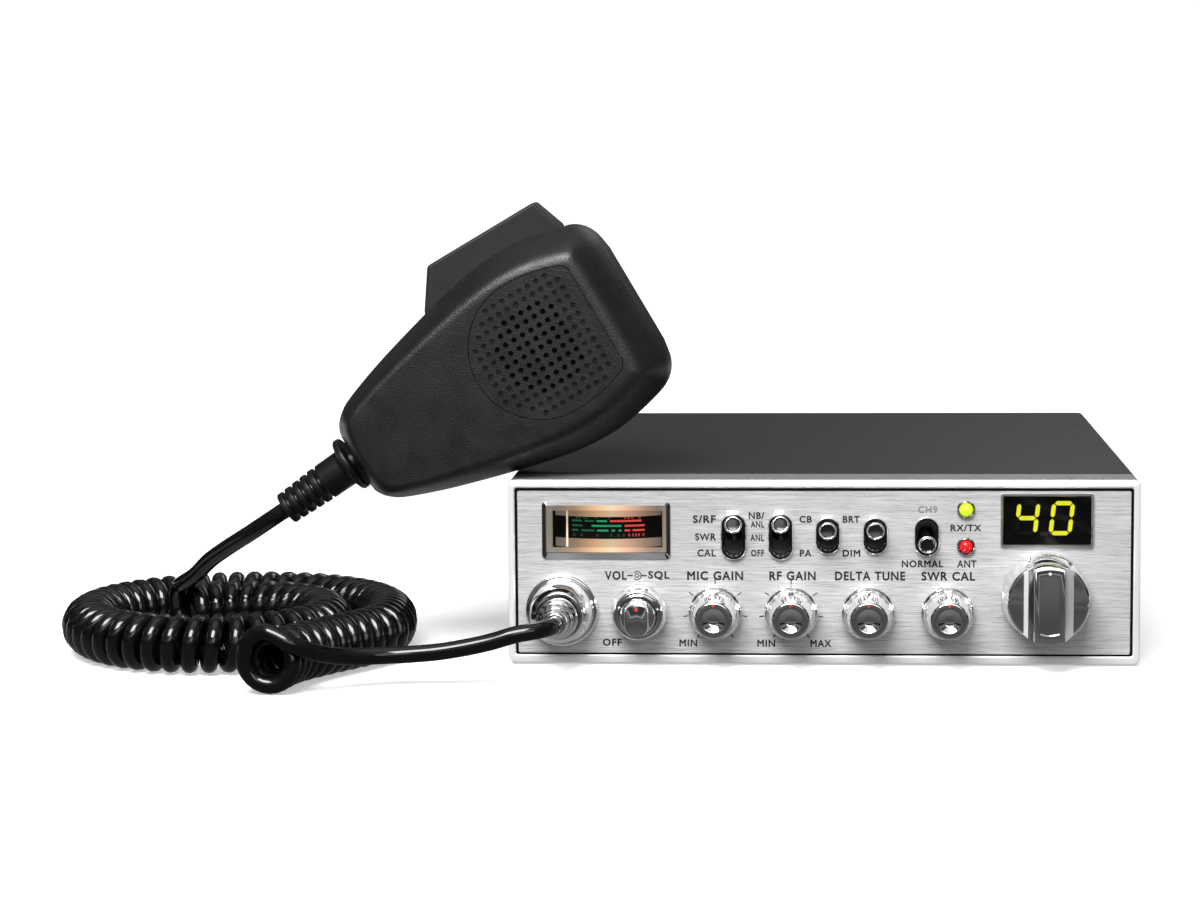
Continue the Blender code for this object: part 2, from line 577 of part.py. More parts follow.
def make_rear():
    low, high = HEAT_SINK_X
    pitch = (high - low) / HEAT_SINK_FINS
    base, tip = CHASSIS_REAR + GAP + 2.6, CHASSIS_REAR + GAP + 9.0
    comb = [(low, CHASSIS_REAR + GAP), (high, CHASSIS_REAR + GAP)]
    for i in range(HEAT_SINK_FINS):
        right = high - i * pitch
        comb += [(right, tip), (right - 2.0, tip), (right - 2.0, base), (right - pitch, base)]
    comb[-1] = (low, base)
    sink = plate("heat_sink", comb, [], *HEAT_SINK_Z, UPRIGHT)
    paint(sink, (0.03, 0.03, 0.03), 0.5, 0.5)
    wall = CHASSIS_REAR
    antenna = [(0, 13.5), (5.4, 13.5), (5.4, 15.0), (7.2, 15.0), (7.9, 14.4), (7.9, 2.4), (12.5, 2.4), (12.5, GAP),
               (5.9, GAP), (5.9, -8.0), (0, -8.0)]
    chrome(turned("antenna_socket", antenna, (ANTENNA_XZ[0], wall, ANTENNA_XZ[1]), BACKWARD))
    x, z = INLET_XZ
    width, height = INLET_SIZE
    inlet = block("power_inlet", (x - width / 2, wall - 8, z - height / 2), (x + width / 2, wall + 6, z + height / 2))
    pocket_x, pocket_z, deep = (INLET_POCKET[0] / 2, INLET_POCKET[1] / 2, INLET_POCKET[2])
    pocket = block("inlet_pocket", (x - pocket_x, wall + 6 - deep, z - pocket_z), (x + pocket_x, wall + 9, z + pocket_z))
    black_plastic(combine(inlet, pocket))
    jack = [(1.75, 2.6), (4.6, 2.6), (5.0, 2.2), (5.0, GAP), (3.0, GAP), (3.0, -10.0), (1.75, -10.0)]
    for name, x in JACKS.items():
        steel(turned(name, jack, (x, wall, JACK_Z), BACKWARD, 12, ring=True))


# Microphone ---------------------------------------------------------------------------------------


def mic_outline(inset):
    """The microphone's outline in u, v. Its inset grows from the cord end to the head."""
    half = smooth_line([(u, v, 0) for u, v in MIC_HALF_OUTLINE], 7.5)
    loop = [Vector((p.x, -p.y)) for p in half] + [Vector((p.x, p.y)) for p in reversed(half)]
    moved = []
    for i, p in enumerate(loop):
        along = (loop[(i + 1) % len(loop)] - loop[i - 1]).normalized()
        depth = (3.2 + 0.05 * p.x) * inset
        moved.append((p.x - along.y * depth, p.y + along.x * depth))
    return moved


def mic_shell(name, levels, side, parent):
    """Half of the microphone's case: an open bowl of lofted outlines with a wall."""
    loops = [[Vector((u, v, side * (w + GAP / 2 * (w == 0)))) * MM for u, v in mic_outline(t)] for w, t in levels]
    count = len(loops[0])
    verts = [p for loop in loops for p in loop]
    faces = []
    for k in range(len(loops) - 1):
        for i in range(count):
            j = (i + 1) % count
            quad = (k * count + i, k * count + j, (k + 1) * count + j, (k + 1) * count + i)
            faces.append(quad if side > 0 else quad[::-1])
    cap = [len(verts) - count + i for i in range(count)]
    faces.append(cap if side > 0 else cap[::-1])
    mesh = bpy.data.meshes.new(name)
    mesh.from_pydata(verts, [], faces)
    shell = thicken(add_object(name, mesh, parent=parent), MIC_WALL)
    shell.modifiers["wall"].use_even_offset = False
    hole = [(0, 6), (4.7, 6), (4.7, -6), (0, -6)]
    combine(shell, turned(f"{name}_cord_hole", hole, (0, 0, 0), OUT_OF_MIC, 16, parent=parent))
    return shell


OUT_OF_MIC = Matrix.Rotation(math.radians(-90), 4, "Y")  # turns a piece's +Z to -u


def make_microphone():
    turn = Matrix.Rotation(math.radians(-MIC_TILT), 4, "Y") @ FORWARD
    mic = guide("mic_frame", MIC_ORIGIN, turn)
    front = mic_shell("mic_front_shell", FRONT_LEVELS, 1, mic)
    rear = mic_shell("mic_rear_shell", REAR_LEVELS, -1, mic)
    for shell in (front, rear):
        paint(shell, (0.02, 0.02, 0.02), 0.55)
    combine(rear, block("key_notch", (41.2, 19.0, KEY_W[0] - 0.6), (93.0, 45.0, 2.0), parent=mic))
    make_key(mic)
    cartridge = [(0, 15.0), (12.0, 15.0), (12.0, 8.0), (0, 8.0)]
    steel(turned("mic_cartridge", cartridge, (67, 0, 0), UPRIGHT, 20, parent=mic))
    black_plastic(block("mic_key_switch", (66, 6, -13.5), (84, 16.2, -4), parent=mic))
    button = [(0, 8.6), (7.6, 8.6), (8.6, 7.8), (8.6, 5.6), (4.2, 4.4), (4.2, GAP), (0, GAP)]
    steel(turned("mic_hang_button", button, (58, 0, -MIC_HALF_DEPTH), DOWNWARD, 20, parent=mic))
    make_boot()


def make_key(mic):
    pivot = guide("key_pivot", (*KEY_PIVOT, 0), UPRIGHT)
    pivot.parent = mic
    outline = [(u - KEY_PIVOT[0], v - KEY_PIVOT[1]) for u, v in KEY_OUTLINE]
    key = plate("mic_ptt_key", outline, [circle((0, 0), 1.5, 12)], *KEY_W, UPRIGHT, parent=pivot)
    paint(key, (0.03, 0.03, 0.03), 0.5)
    low, high = KEY_W
    pin = [(0, high - 0.2), (1.1, high - 0.2), (1.1, low + 0.2), (0, low + 0.2)]
    steel(turned("ptt_pivot_pin", pin, (*KEY_PIVOT, 0), UPRIGHT, 12, parent=mic))


def make_boot():
    """The ribbed strain relief, which droops a little below the microphone's own axis."""
    ribs, first, last = 5, 9.2, BOOT_LENGTH
    pitch = (last - first) / ribs
    profile = []
    for i in range(ribs):
        top = last - i * pitch
        radius = 5.1 + 0.2 * i
        profile += [(radius, top), (radius, top - pitch + 1.3), (3.9, top - pitch + 1.0), (3.9, top - pitch + 0.3)]
    profile = [(0, last), *profile, (5.6, first - 0.3), (5.6, 3.2), (8.2, 3.0), (8.65, 2.4), (8.65, 0.7),
               (4.2, 0.7), (4.2, -2.6), (5.6, -2.8), (5.6, -4.0), (0, -4.0)]
    turn = Matrix.Rotation(math.radians(-BOOT_TILT), 4, "Y") @ OUT_OF_MIC
    rubber(turned("mic_cord_boot", profile, MIC_ORIGIN, turn, 12))


# Cord ---------------------------------------------------------------------------------------------


def coil_radius(sweep):
    """The loop's radius at a sweep angle, read smoothly from the table."""
    last = len(COIL_RADII) - 1
    k = next((i for i in range(last) if sweep <= COIL_RADII[i + 1][0]), last - 1)
    (s0, r0), (s1, r1) = COIL_RADII[k], COIL_RADII[k + 1]
    before, after = COIL_RADII[max(k - 1, 0)], COIL_RADII[min(k + 2, last)]
    slope0 = (r1 - before[1]) / (s1 - before[0])
    slope1 = (after[1] - r0) / (after[0] - s0)
    span = s1 - s0
    t = (sweep - s0) / span
    return ((2 * t**3 - 3 * t**2 + 1) * r0 + (t**3 - 2 * t**2 + t) * slope0 * span
            + (3 * t**2 - 2 * t**3) * r1 + (t**3 - t**2) * slope1 * span)


def coil_axis(spacing):
    """The middle line of the curly part: a flat double loop that runs clockwise and leaves to the front."""
    route, step = [], 15
    for i in range(int(COIL_SWEEP_DEG / step) + 1):
        radius, angle = coil_radius(i * step), math.radians(COIL_START_DEG - i * step)
        route.append((COIL_CENTRE[0] + radius * math.cos(angle), COIL_CENTRE[1] + radius * math.sin(angle), COIL_Z))
    return smooth_line(route + [(x, y, COIL_Z) for x, y in COIL_TAIL], spacing)


def make_cord():
    rubber(tube("cord_plug_lead", smooth_line(PLUG_ROUTE, 7.0), CORD_RADIUS, 3))
    rubber(tube("cord_coil", coil_axis(9.0), COIL_RADIUS, 4))
    rubber(tube("cord_mic_lead", smooth_line(MIC_ROUTE, 7.0), CORD_RADIUS, 3))


make_covers()
make_chassis()
make_bezel()
make_panel()
make_meter()
make_display()
make_lamps()
make_toggles()
make_controls()
make_knobs()
make_plug()
make_inside()
make_rear()
make_microphone()
make_cord()
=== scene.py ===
"""Looks of the mobile transceiver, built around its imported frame.

Lengths are in millimetres in each piece's own frame; piece() turns them into metres. Controls are made
facing +z with +y up and set on the panel. Microphone pieces are made in the microphone's own frame, with u
from the cord end to the head, v towards the push-to-talk key and w out of the grille.
"""
from math import asin, atan, atan2, cos, pi, radians, sin, tan

import bmesh
import bpy
import numpy as np
from mathutils import Matrix, Vector


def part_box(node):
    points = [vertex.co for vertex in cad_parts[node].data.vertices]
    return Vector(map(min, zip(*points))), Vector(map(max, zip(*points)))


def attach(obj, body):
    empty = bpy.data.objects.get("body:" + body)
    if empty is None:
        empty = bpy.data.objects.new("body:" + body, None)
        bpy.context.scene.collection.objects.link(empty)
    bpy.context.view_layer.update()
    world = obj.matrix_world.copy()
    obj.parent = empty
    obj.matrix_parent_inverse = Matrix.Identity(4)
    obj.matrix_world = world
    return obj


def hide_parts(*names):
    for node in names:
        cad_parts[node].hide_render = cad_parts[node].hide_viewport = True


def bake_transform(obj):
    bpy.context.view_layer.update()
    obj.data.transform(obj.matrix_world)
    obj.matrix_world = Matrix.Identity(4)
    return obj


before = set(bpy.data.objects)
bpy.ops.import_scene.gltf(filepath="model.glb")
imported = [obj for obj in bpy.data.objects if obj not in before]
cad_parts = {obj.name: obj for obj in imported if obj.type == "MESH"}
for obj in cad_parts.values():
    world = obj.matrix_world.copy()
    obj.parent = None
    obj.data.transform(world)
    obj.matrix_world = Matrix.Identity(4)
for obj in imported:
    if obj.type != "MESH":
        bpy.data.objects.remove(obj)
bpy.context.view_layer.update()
MM = 0.001
move = Matrix.Translation

# ---- Places and driving sizes, from the frame ----


def spin(degrees, axis):
    return Matrix.Rotation(radians(degrees), 4, axis)


def box_mm(node):
    low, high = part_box(node)
    return low / MM, high / MM


def middle(node):
    low, high = box_mm(node)
    return (low + high) / 2


def size_of(node):
    low, high = box_mm(node)
    return high - low


PANEL_FACE = box_mm("front_panel")[0].y
COVER_LOW, COVER_HIGH = box_mm("top_cover")
REAR_WALL = box_mm("chassis_frame")[1].y
FORWARD, BACKWARD = spin(90, "X"), spin(-90, "X")
MIC_ORIGIN = (-142.4, -85.0, 58.1)
MIC_TILT = 30.5
MIC = move(MIC_ORIGIN) @ spin(-MIC_TILT, "Y") @ FORWARD
MIC_DEPTH = 18.0  # from the parting line to the microphone's front or back
OUT_OF_MIC = spin(-90, "Y")
BOOT_TILT = 34.5


def on_panel(x, z):
    """The frame of a control: +z out of the panel, +y up."""
    return move((x, PANEL_FACE, z)) @ FORWARD


def at_node(name):
    """The frame of the control that stands where a CAD node is."""
    mid = middle(name)
    return on_panel(mid.x, mid.z)


def on_rear(x, z, out=0.0):
    """The frame of a part on the rear wall: +z out of the wall."""
    return move((x, REAR_WALL + out, z)) @ BACKWARD


# ---- Shader nodes ----


def put(node, **values):
    """Set a node's inputs by name."""
    for name, value in values.items():
        node.inputs[name.replace("_", " ")].default_value = value


def add_node(tree, kind, **values):
    node = tree.nodes.new("ShaderNode" + kind)
    put(node, **values)
    return node


def ramp(tree, source, stops):
    """A source through colour stops, each (position, grey) or (position, (r, g, b))."""
    node = add_node(tree, "ValToRGB")
    elements = node.color_ramp.elements
    while len(elements) > 1:
        elements.remove(elements[-1])
    for i, (position, value) in enumerate(stops):
        element = elements[0] if i == 0 else elements.new(position)
        element.position = position
        colour = (value,) * 3 if isinstance(value, (int, float)) else value
        element.color = (*colour, 1)
    tree.links.new(source, node.inputs[0])
    return node.outputs[0]


def vary(tree, source, target, stops):
    """Drive a shader input from a texture through colour stops."""
    tree.links.new(ramp(tree, source, stops), target)


def blend(tree, first, second, factor, way):
    """Two colours put together, the second by a factor."""
    node = add_node(tree, "Mix", Factor=factor)
    node.data_type, node.blend_type = "RGBA", way
    colour_a, colour_b, result = node.inputs[6], node.inputs[7], node.outputs[2]
    tree.links.new(first, colour_a)
    tree.links.new(second, colour_b)
    return result


def either(tree, switch, off, on):
    """One shader where the switch is 0, another where it is 1."""
    node = add_node(tree, "MixShader")
    for source, target in zip((switch, off, on), node.inputs):
        tree.links.new(source, target)
    return node.outputs[0]


def new_material(name, colour, roughness, metallic=0.0):
    material = bpy.data.materials.new(name)
    material.use_nodes = True
    tree = material.node_tree
    shader = tree.nodes["Principled BSDF"]
    put(shader, Base_Color=(*colour, 1), Roughness=roughness, Metallic=metallic)
    return material, tree, shader


def texture(tree, scale, stretch=(1, 1, 1), detail=3.0):
    """A noise in the piece's own coordinates. Its scale is per metre."""
    coordinates, mapping = add_node(tree, "TexCoord"), add_node(tree, "Mapping", Scale=stretch)
    noise = add_node(tree, "TexNoise", Scale=scale, Detail=detail)
    tree.links.new(coordinates.outputs["Object"], mapping.inputs[0])
    tree.links.new(mapping.outputs[0], noise.inputs["Vector"])
    return noise.outputs[0]


def roughen(tree, shader, source, strength, distance):
    bump = add_node(tree, "Bump", Strength=strength, Distance=distance)
    tree.links.new(source, bump.inputs["Height"])
    tree.links.new(bump.outputs[0], shader.inputs["Normal"])


# ---- Camera and lights ----

WHITE = (1, 1, 1, 1)
STUDIO_RADIUS = 2.6
STUDIO_STEPS = 64
# SKY is read by height, FLAGS by distance to the side, BACK_HALF towards the back, and FLOOR_SEEN along
# the floor from front to back.
SKY = [(0.0, 0.2), (0.04, 0.03), (0.16, 0.05), (0.24, 0.5), (0.40, 0.7), (0.46, 0.10), (0.54, 0.12),
       (0.62, 0.85), (0.76, 0.9), (0.82, 0.2), (0.88, 0.25), (0.93, 0.8), (1.0, 0.9)]
FLAGS = [(0.0, 1.0), (0.46, 1.0), (0.56, 0.3), (0.95, 0.22), (1.0, 0.6)]
BACK_HALF = [(0.0, 1.0), (0.1, 1.0), (0.45, 0.4), (1.0, 0.35)]
FLOOR_SEEN = [(0.0, 0.5), (0.21, 0.1), (0.44, 0.07), (0.50, 0.13), (0.56, 0.07), (0.59, 0.08), (0.62, 0.12),
              (0.64, 0.35), (0.71, 0.4), (0.80, 0.9), (1.0, 0.9)]


def make_camera():
    data = bpy.data.cameras.new("camera")
    data.lens = 95.6
    data.sensor_width = 36.0
    data.clip_start, data.clip_end = 0.05, 20.0
    camera = bpy.data.objects.new("camera", data)
    bpy.context.scene.collection.objects.link(camera)
    yaw, pitch, roll = 0.0676, -0.1090, -0.0076
    turn = (Matrix.Rotation(yaw, 4, "Z") @ Matrix.Rotation(pi / 2 + pitch, 4, "X")
            @ Matrix.Rotation(roll, 4, "Z"))
    camera.matrix_world = move((-0.0023, -1.0345, 0.1667)) @ turn
    bpy.context.scene.camera = camera


def area_light(name, place_at, aim, size, power):
    data = bpy.data.lights.new(name, "AREA")
    data.shape = "RECTANGLE"
    data.size, data.size_y = size
    data.energy = power
    light = bpy.data.objects.new(name, data)
    bpy.context.scene.collection.objects.link(light)
    light.location = place_at
    light.rotation_euler = (Vector(aim) - Vector(place_at)).to_track_quat("-Z", "Y").to_euler()


def make_studio():
    """A pale floor and backdrop, three soft lights, and a sky with a dark skyline."""
    area_light("key", (-0.25, -0.95, 1.0), (-0.03, -0.05, 0.06), (0.8, 0.6), 29.0)
    area_light("front", (0.25, -1.5, 0.62), (0, -0.05, 0.05), (0.9, 0.5), 3.0)
    area_light("rim", (0.5, 1.1, 0.9), (0, 0, 0.05), (0.9, 0.4), 2.0)
    world = bpy.data.worlds.new("studio")
    bpy.context.scene.world = world
    world.use_nodes = True
    tree = world.node_tree
    tree.nodes.clear()
    link = tree.links.new
    coordinates, split, side, back, path, out = (add_node(tree, kind) for kind in (
        "TexCoord", "SeparateXYZ", "Math", "Background", "LightPath", "OutputWorld"))
    side.operation = "ABSOLUTE"
    link(coordinates.outputs["Generated"], split.inputs[0])
    link(split.outputs["X"], side.inputs[0])
    sky = ramp(tree, split.outputs["Z"], SKY)
    for source, stops in ((side.outputs[0], FLAGS), (split.outputs["Y"], BACK_HALF)):
        sky = blend(tree, sky, ramp(tree, source, stops), 1.0, "MULTIPLY")
    link(sky, back.inputs["Color"])
    strength = add_node(tree, "MapRange", To_Min=1.0, To_Max=0.5)
    link(path.outputs["Is Diffuse Ray"], strength.inputs["Value"])
    link(strength.outputs[0], back.inputs["Strength"])
    link(back.outputs[0], out.inputs["Surface"])
    bpy.context.scene.view_settings.view_transform = "Standard"
    floor, wall = make_floor(), make_backdrop()


def make_floor():
    """A pale floor, clear from below. Bounced rays see it in dark and bright bands."""
    bm = bmesh.new()
    bmesh.ops.create_circle(bm, cap_ends=True, radius=STUDIO_RADIUS, segments=STUDIO_STEPS)
    bmesh.ops.translate(bm, vec=(0, 0, -0.0002), verts=bm.verts)
    floor = scene_object("studio_floor", bm)
    material, tree, shader = new_material("floor", (0.86, 0.86, 0.86), 0.9)
    link = tree.links.new
    coordinates, ball, split, seen, path, bounced, under, nothing = (add_node(tree, kind) for kind in (
        "TexCoord", "TexGradient", "SeparateXYZ", "Emission", "LightPath", "Math", "NewGeometry",
        "BsdfTransparent"))
    closeness = add_node(tree, "Mapping", Scale=(0.8, 0.8, 0.8))
    ball.gradient_type = "SPHERICAL"
    link(coordinates.outputs["Object"], closeness.inputs[0])
    link(closeness.outputs[0], ball.inputs[0])
    put(shader, Emission_Color=WHITE)
    vary(tree, ball.outputs[1], shader.inputs["Emission Strength"], [(0.0, 1.0), (0.35, 1.0), (0.75, 0.45)])
    depth = add_node(tree, "MapRange", From_Min=-1.0, From_Max=0.4)
    link(coordinates.outputs["Object"], split.inputs[0])
    link(split.outputs["Y"], depth.inputs["Value"])
    vary(tree, depth.outputs[0], seen.inputs["Color"], FLOOR_SEEN)
    bounced.operation = "MAXIMUM"
    link(path.outputs["Is Glossy Ray"], bounced.inputs[0])
    link(path.outputs["Is Diffuse Ray"], bounced.inputs[1])
    above = either(tree, bounced.outputs[0], shader.outputs[0], seen.outputs[0])
    surface = either(tree, under.outputs["Backfacing"], above, nothing.outputs[0])
    link(surface, tree.nodes["Material Output"].inputs["Surface"])
    floor.data.materials.append(material)
    return floor


def make_backdrop():
    """A white wall all round, which only the camera sees."""
    bm = bmesh.new()
    bmesh.ops.create_cone(bm, radius1=STUDIO_RADIUS, radius2=STUDIO_RADIUS, depth=5.0, segments=STUDIO_STEPS)
    wall = scene_object("studio_backdrop", bm)
    material, _, shader = new_material("backdrop", (0, 0, 0), 1.0)
    put(shader, Emission_Color=WHITE, Emission_Strength=1.15)
    wall.data.materials.append(material)
    wall.visible_glossy = wall.visible_diffuse = wall.visible_shadow = wall.visible_transmission = False
    return wall


# ---- Materials ----


def grained(name, colour, spread, roughness, grain, depth, metallic=0.0, specular=0.5):
    """A painted or moulded surface: blotches of colour and gloss, over a fine bumpy grain if it has depth."""
    material, tree, shader = new_material(name, colour, roughness, metallic)
    put(shader, Specular_IOR_Level=specular)
    low, high = ([c * (1 - spread) for c in colour], [min(1, c * (1 + spread)) for c in colour])
    vary(tree, texture(tree, 45.0), shader.inputs["Base Color"], [(0.3, low), (0.7, high)])
    gloss = min(0.06, spread)
    vary(tree, texture(tree, 160.0), shader.inputs["Roughness"],
         [(0.3, max(0.02, roughness - gloss)), (0.7, min(1, roughness + gloss))])
    if depth:
        roughen(tree, shader, texture(tree, grain, detail=2.0), 0.5, depth * MM)
    return material


def brushed(name, dark, light, roughness, stretch, metallic=1.0):
    """Metal brushed in one direction: stretch is small along the grain and large across it."""
    material, tree, shader = new_material(name, light, roughness, metallic)
    wide = texture(tree, 1.0, [s * 0.45 for s in stretch], 4.0)
    fine = texture(tree, 1.0, [s * 1.7 for s in stretch], 3.0)
    both = blend(tree, wide, fine, 0.5, "MIX")
    vary(tree, both, shader.inputs["Base Color"], [(0.33, dark), (0.64, light)])
    vary(tree, fine, shader.inputs["Roughness"], [(0.3, roughness - 0.08), (0.7, roughness + 0.08)])
    roughen(tree, shader, fine, 0.35, 0.02 * MM)
    return material


def plated(name, colour=(0.86, 0.86, 0.87), roughness=0.05):
    """Polished plating with faint haze and hair scratches."""
    material, tree, shader = new_material(name, colour, roughness, 1.0)
    vary(tree, texture(tree, 220.0, (1, 1, 1), 6.0), shader.inputs["Roughness"],
         [(0.35, roughness), (0.75, roughness + 0.07)])
    vary(tree, texture(tree, 60.0), shader.inputs["Base Color"],
         [(0.3, [c * 0.95 for c in colour]), (0.7, colour)])
    roughen(tree, shader, texture(tree, 900.0, (1, 1, 0.1), 2.0), 0.04, 0.01 * MM)
    return material


def glowing(name, colour, strength, base=(0.02, 0.02, 0.02), roughness=0.25):
    """A lit face whose colour is a little uneven."""
    material, tree, shader = new_material(name, base, roughness)
    vary(tree, texture(tree, 900.0), shader.inputs["Emission Color"],
         [(0.3, [c * 0.86 for c in colour]), (0.65, colour)])
    put(shader, Emission_Strength=strength)
    return material


def clear(name, tint, alpha):
    material, tree, shader = new_material(name, tint, 0.03)
    put(shader, Alpha=alpha)
    vary(tree, texture(tree, 300.0), shader.inputs["Roughness"], [(0.3, 0.03), (0.8, 0.08)])
    return material


LAMP_GLOW = [(0.0, (0.26, 0.23, 0.2)), (0.12, (0.2, 0.17, 0.14)), (0.25, (0.36, 0.23, 0.14)),
             (0.42, (0.95, 0.56, 0.3)), (0.54, (1.0, 0.78, 0.5)), (0.64, (0.95, 0.56, 0.38)),
             (0.8, (0.42, 0.27, 0.2)), (0.9, (0.2, 0.16, 0.13)), (1.0, (0.26, 0.23, 0.2))]


def lit(name, strength):
    """A translucent surface lit by a warm lamp, brightest near the middle of the meter."""
    material, tree, shader = new_material(name, (0.08, 0.065, 0.05), 0.25)
    low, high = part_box("meter_bezel")
    coordinates, split = add_node(tree, "TexCoord"), add_node(tree, "SeparateXYZ")
    across = add_node(tree, "MapRange", From_Min=low.x, From_Max=high.x)
    tree.links.new(coordinates.outputs["Object"], split.inputs[0])
    tree.links.new(split.outputs["X"], across.inputs["Value"])
    vary(tree, across.outputs[0], shader.inputs["Emission Color"], LAMP_GLOW)
    put(shader, Emission_Strength=strength)
    roughen(tree, shader, texture(tree, 500.0), 0.3, 0.05 * MM)
    return material


def make_materials():
    return {
        "cover": grained("satin_black_paint", (0.014, 0.014, 0.015), 0.04, 0.46, 2600.0, 0.03, specular=0.35),
        # Near black over the chassis's real zinc steel: painted shade, so the gap round the panel reads dark.
        "chassis": grained("chassis_gap_shade_black", (0.02, 0.02, 0.021), 0.15, 0.5, 1800.0, 0.03, 0.4),
        "rim": grained("bezel_satin_chrome", (0.92, 0.92, 0.93), 0.015, 0.32, 300.0, 0.0, 0.35),
        # A darker copy of the bezel's satin chrome, for the skirt's outer face: painted shade.
        "rim_painted_shade": grained("bezel_side_painted_shade", (0.36, 0.36, 0.365), 0.03, 0.3, 300.0, 0.0, 0.45),
        "panel": brushed("brushed_aluminium", (0.52, 0.52, 0.53), (0.84, 0.84, 0.85), 0.32,
                         (105, 105, 4200), 0.42),
        "chrome": plated("polished_chrome"),
        # Dark chrome: painted shade on the meter frame's sides and on the channel knob's dark wall; also the
        # finish of the lamp clips and the microphone's screws.
        "dark_chrome": plated("dark_chrome", (0.25, 0.25, 0.26), 0.12),
        "satin_chrome": plated("meter_frame_chrome", (0.62, 0.62, 0.63), 0.27),
        # Dull grey chrome for the meter frame's lower strip: painted shade.
        "shaded_frame_chrome": grained("meter_frame_painted_shade", (0.26, 0.26, 0.265), 0.1, 0.5, 600.0, 0.002, 0.3),
        "steel": brushed("zinc_steel", (0.36, 0.36, 0.37), (0.56, 0.56, 0.56), 0.38, (700, 700, 60)),
        "black": grained("black_plastic", (0.014, 0.014, 0.014), 0.2, 0.38, 1500.0, 0.02),
        "gloss_black": grained("gloss_black_plastic", (0.008, 0.008, 0.008), 0.1, 0.12, 500.0, 0.004),
        "mic": grained("mic_shell_plastic", (0.0065, 0.0065, 0.0068), 0.12, 0.4, 2000.0, 0.2, specular=0.5),
        "key": grained("mic_key_plastic", (0.016, 0.016, 0.0165), 0.08, 0.5, 2600.0, 0.04, specular=0.3),
        "cord": grained("cord_jacket", (0.003, 0.003, 0.0032), 0.2, 0.13, 420.0, 0.008),
        "boot": grained("boot_rubber", (0.004, 0.004, 0.0042), 0.2, 0.34, 900.0, 0.03, specular=0.4),
        "mesh": grained("felt_backing", (0.002, 0.002, 0.002), 0.3, 0.9, 2500.0, 0.08),
        "anodised": brushed("black_anodised", (0.018, 0.018, 0.02), (0.035, 0.035, 0.038), 0.4,
                            (900, 900, 40), 0.7),
        "board": grained("circuit_board", (0.03, 0.12, 0.045), 0.2, 0.4, 700.0, 0.03),
        "paper": grained("speaker_paper", (0.03, 0.03, 0.03), 0.2, 0.85, 900.0, 0.1),
        "dial": grained("dial_black", (0.001, 0.002, 0.0015), 0.2, 0.55, 900.0, 0.01, specular=0.1),
        "glass": clear("meter_glass", (0.02, 0.02, 0.02), 0.03),
        "smoked": clear("smoked_glass", (0.002, 0.002, 0.002), 0.3),
        "ink": grained("printed_ink", (0.008, 0.008, 0.009), 0.2, 0.6, 1500.0, 0.01),
        "pale_ink": grained("pale_ink", (0.2, 0.2, 0.2), 0.1, 0.6, 1500.0, 0.01),
        "digit": glowing("display_digit", (0.88, 0.9, 0.03), 2.0),
        "unlit": grained("unlit_segment", (0.003, 0.003, 0.002), 0.1, 0.4, 600.0, 0.01),
        "green_mark": glowing("dial_green", (0.01, 0.45, 0.17), 0.8),
        "dim_mark": glowing("dial_dim_green", (0.01, 0.2, 0.1), 0.5),
        "red_mark": glowing("dial_red", (0.85, 0.08, 0.06), 0.95),
        "green_lamp": glowing("green_lamp", (0.66, 0.83, 0.02), 0.85, (0.3, 0.45, 0.02), 0.12),
        "red_lamp": glowing("red_lamp", (0.75, 0.01, 0.015), 0.55, (0.4, 0.01, 0.01), 0.12),
        "red_dot": grained("red_dot", (0.75, 0.05, 0.04), 0.1, 0.25, 900.0, 0.01),
        "white_dot": grained("white_dot", (0.85, 0.85, 0.83), 0.05, 0.3, 900.0, 0.01),
        "needle": glowing("needle_paint", (0.9, 0.78, 0.6), 0.55, (0.85, 0.78, 0.62)),
        "brass": brushed("brass_pins", (0.6, 0.42, 0.16), (0.8, 0.6, 0.26), 0.25, (400, 400, 60)),
        "lit_box": lit("meter_lit_surround", 0.95),
        "lit_mask": lit("meter_lit_mask", 0.6),
    }


# ---- Mesh helpers ----


def scene_object(name, bm):
    mesh = bpy.data.meshes.new(name)
    bm.to_mesh(mesh)
    bm.free()
    ob = bpy.data.objects.new(name, mesh)
    bpy.context.scene.collection.objects.link(ob)
    return ob


def piece(name, bm, materials, body="root", stands_for=(), smooth=32, where=None):
    """Turn a mesh in millimetres into a piece in metres that rides on a body."""
    bm.transform(Matrix.Scale(MM, 4) @ (where or Matrix.Identity(4)))
    bmesh.ops.recalc_face_normals(bm, faces=bm.faces)
    ob = scene_object(name, bm)
    for material in materials if isinstance(materials, list) else [materials]:
        ob.data.materials.append(M[material])
    ob.data.shade_smooth()
    ob.data.set_sharp_from_angle(angle=radians(smooth))
    if body:
        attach(ob, body)
    if stands_for:
        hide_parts(*([stands_for] if isinstance(stands_for, str) else stands_for))
    return ob


def bevelled(ob, width, segments):
    modifier = ob.modifiers.new("bevel", "BEVEL")
    modifier.width = width * MM
    modifier.segments = segments
    modifier.limit_method = "ANGLE"
    modifier.angle_limit = radians(30)
    modifier.harden_normals = True


def soften(profile, radius, count=3):
    """Round the corners of a profile, except where it starts and ends."""
    points = [Vector(p) for p in profile]
    out = [points[0]]
    for before, corner, after in zip(points, points[1:], points[2:]):
        reach = min(radius, 0.45 * (corner - before).length, 0.45 * (after - corner).length)
        a = corner + (before - corner).normalized() * reach
        b = corner + (after - corner).normalized() * reach
        out += [a.lerp(corner, t).lerp(corner.lerp(b, t), t) for t in (i / count for i in range(count + 1))]
    return [tuple(p) for p in out + [points[-1]]]


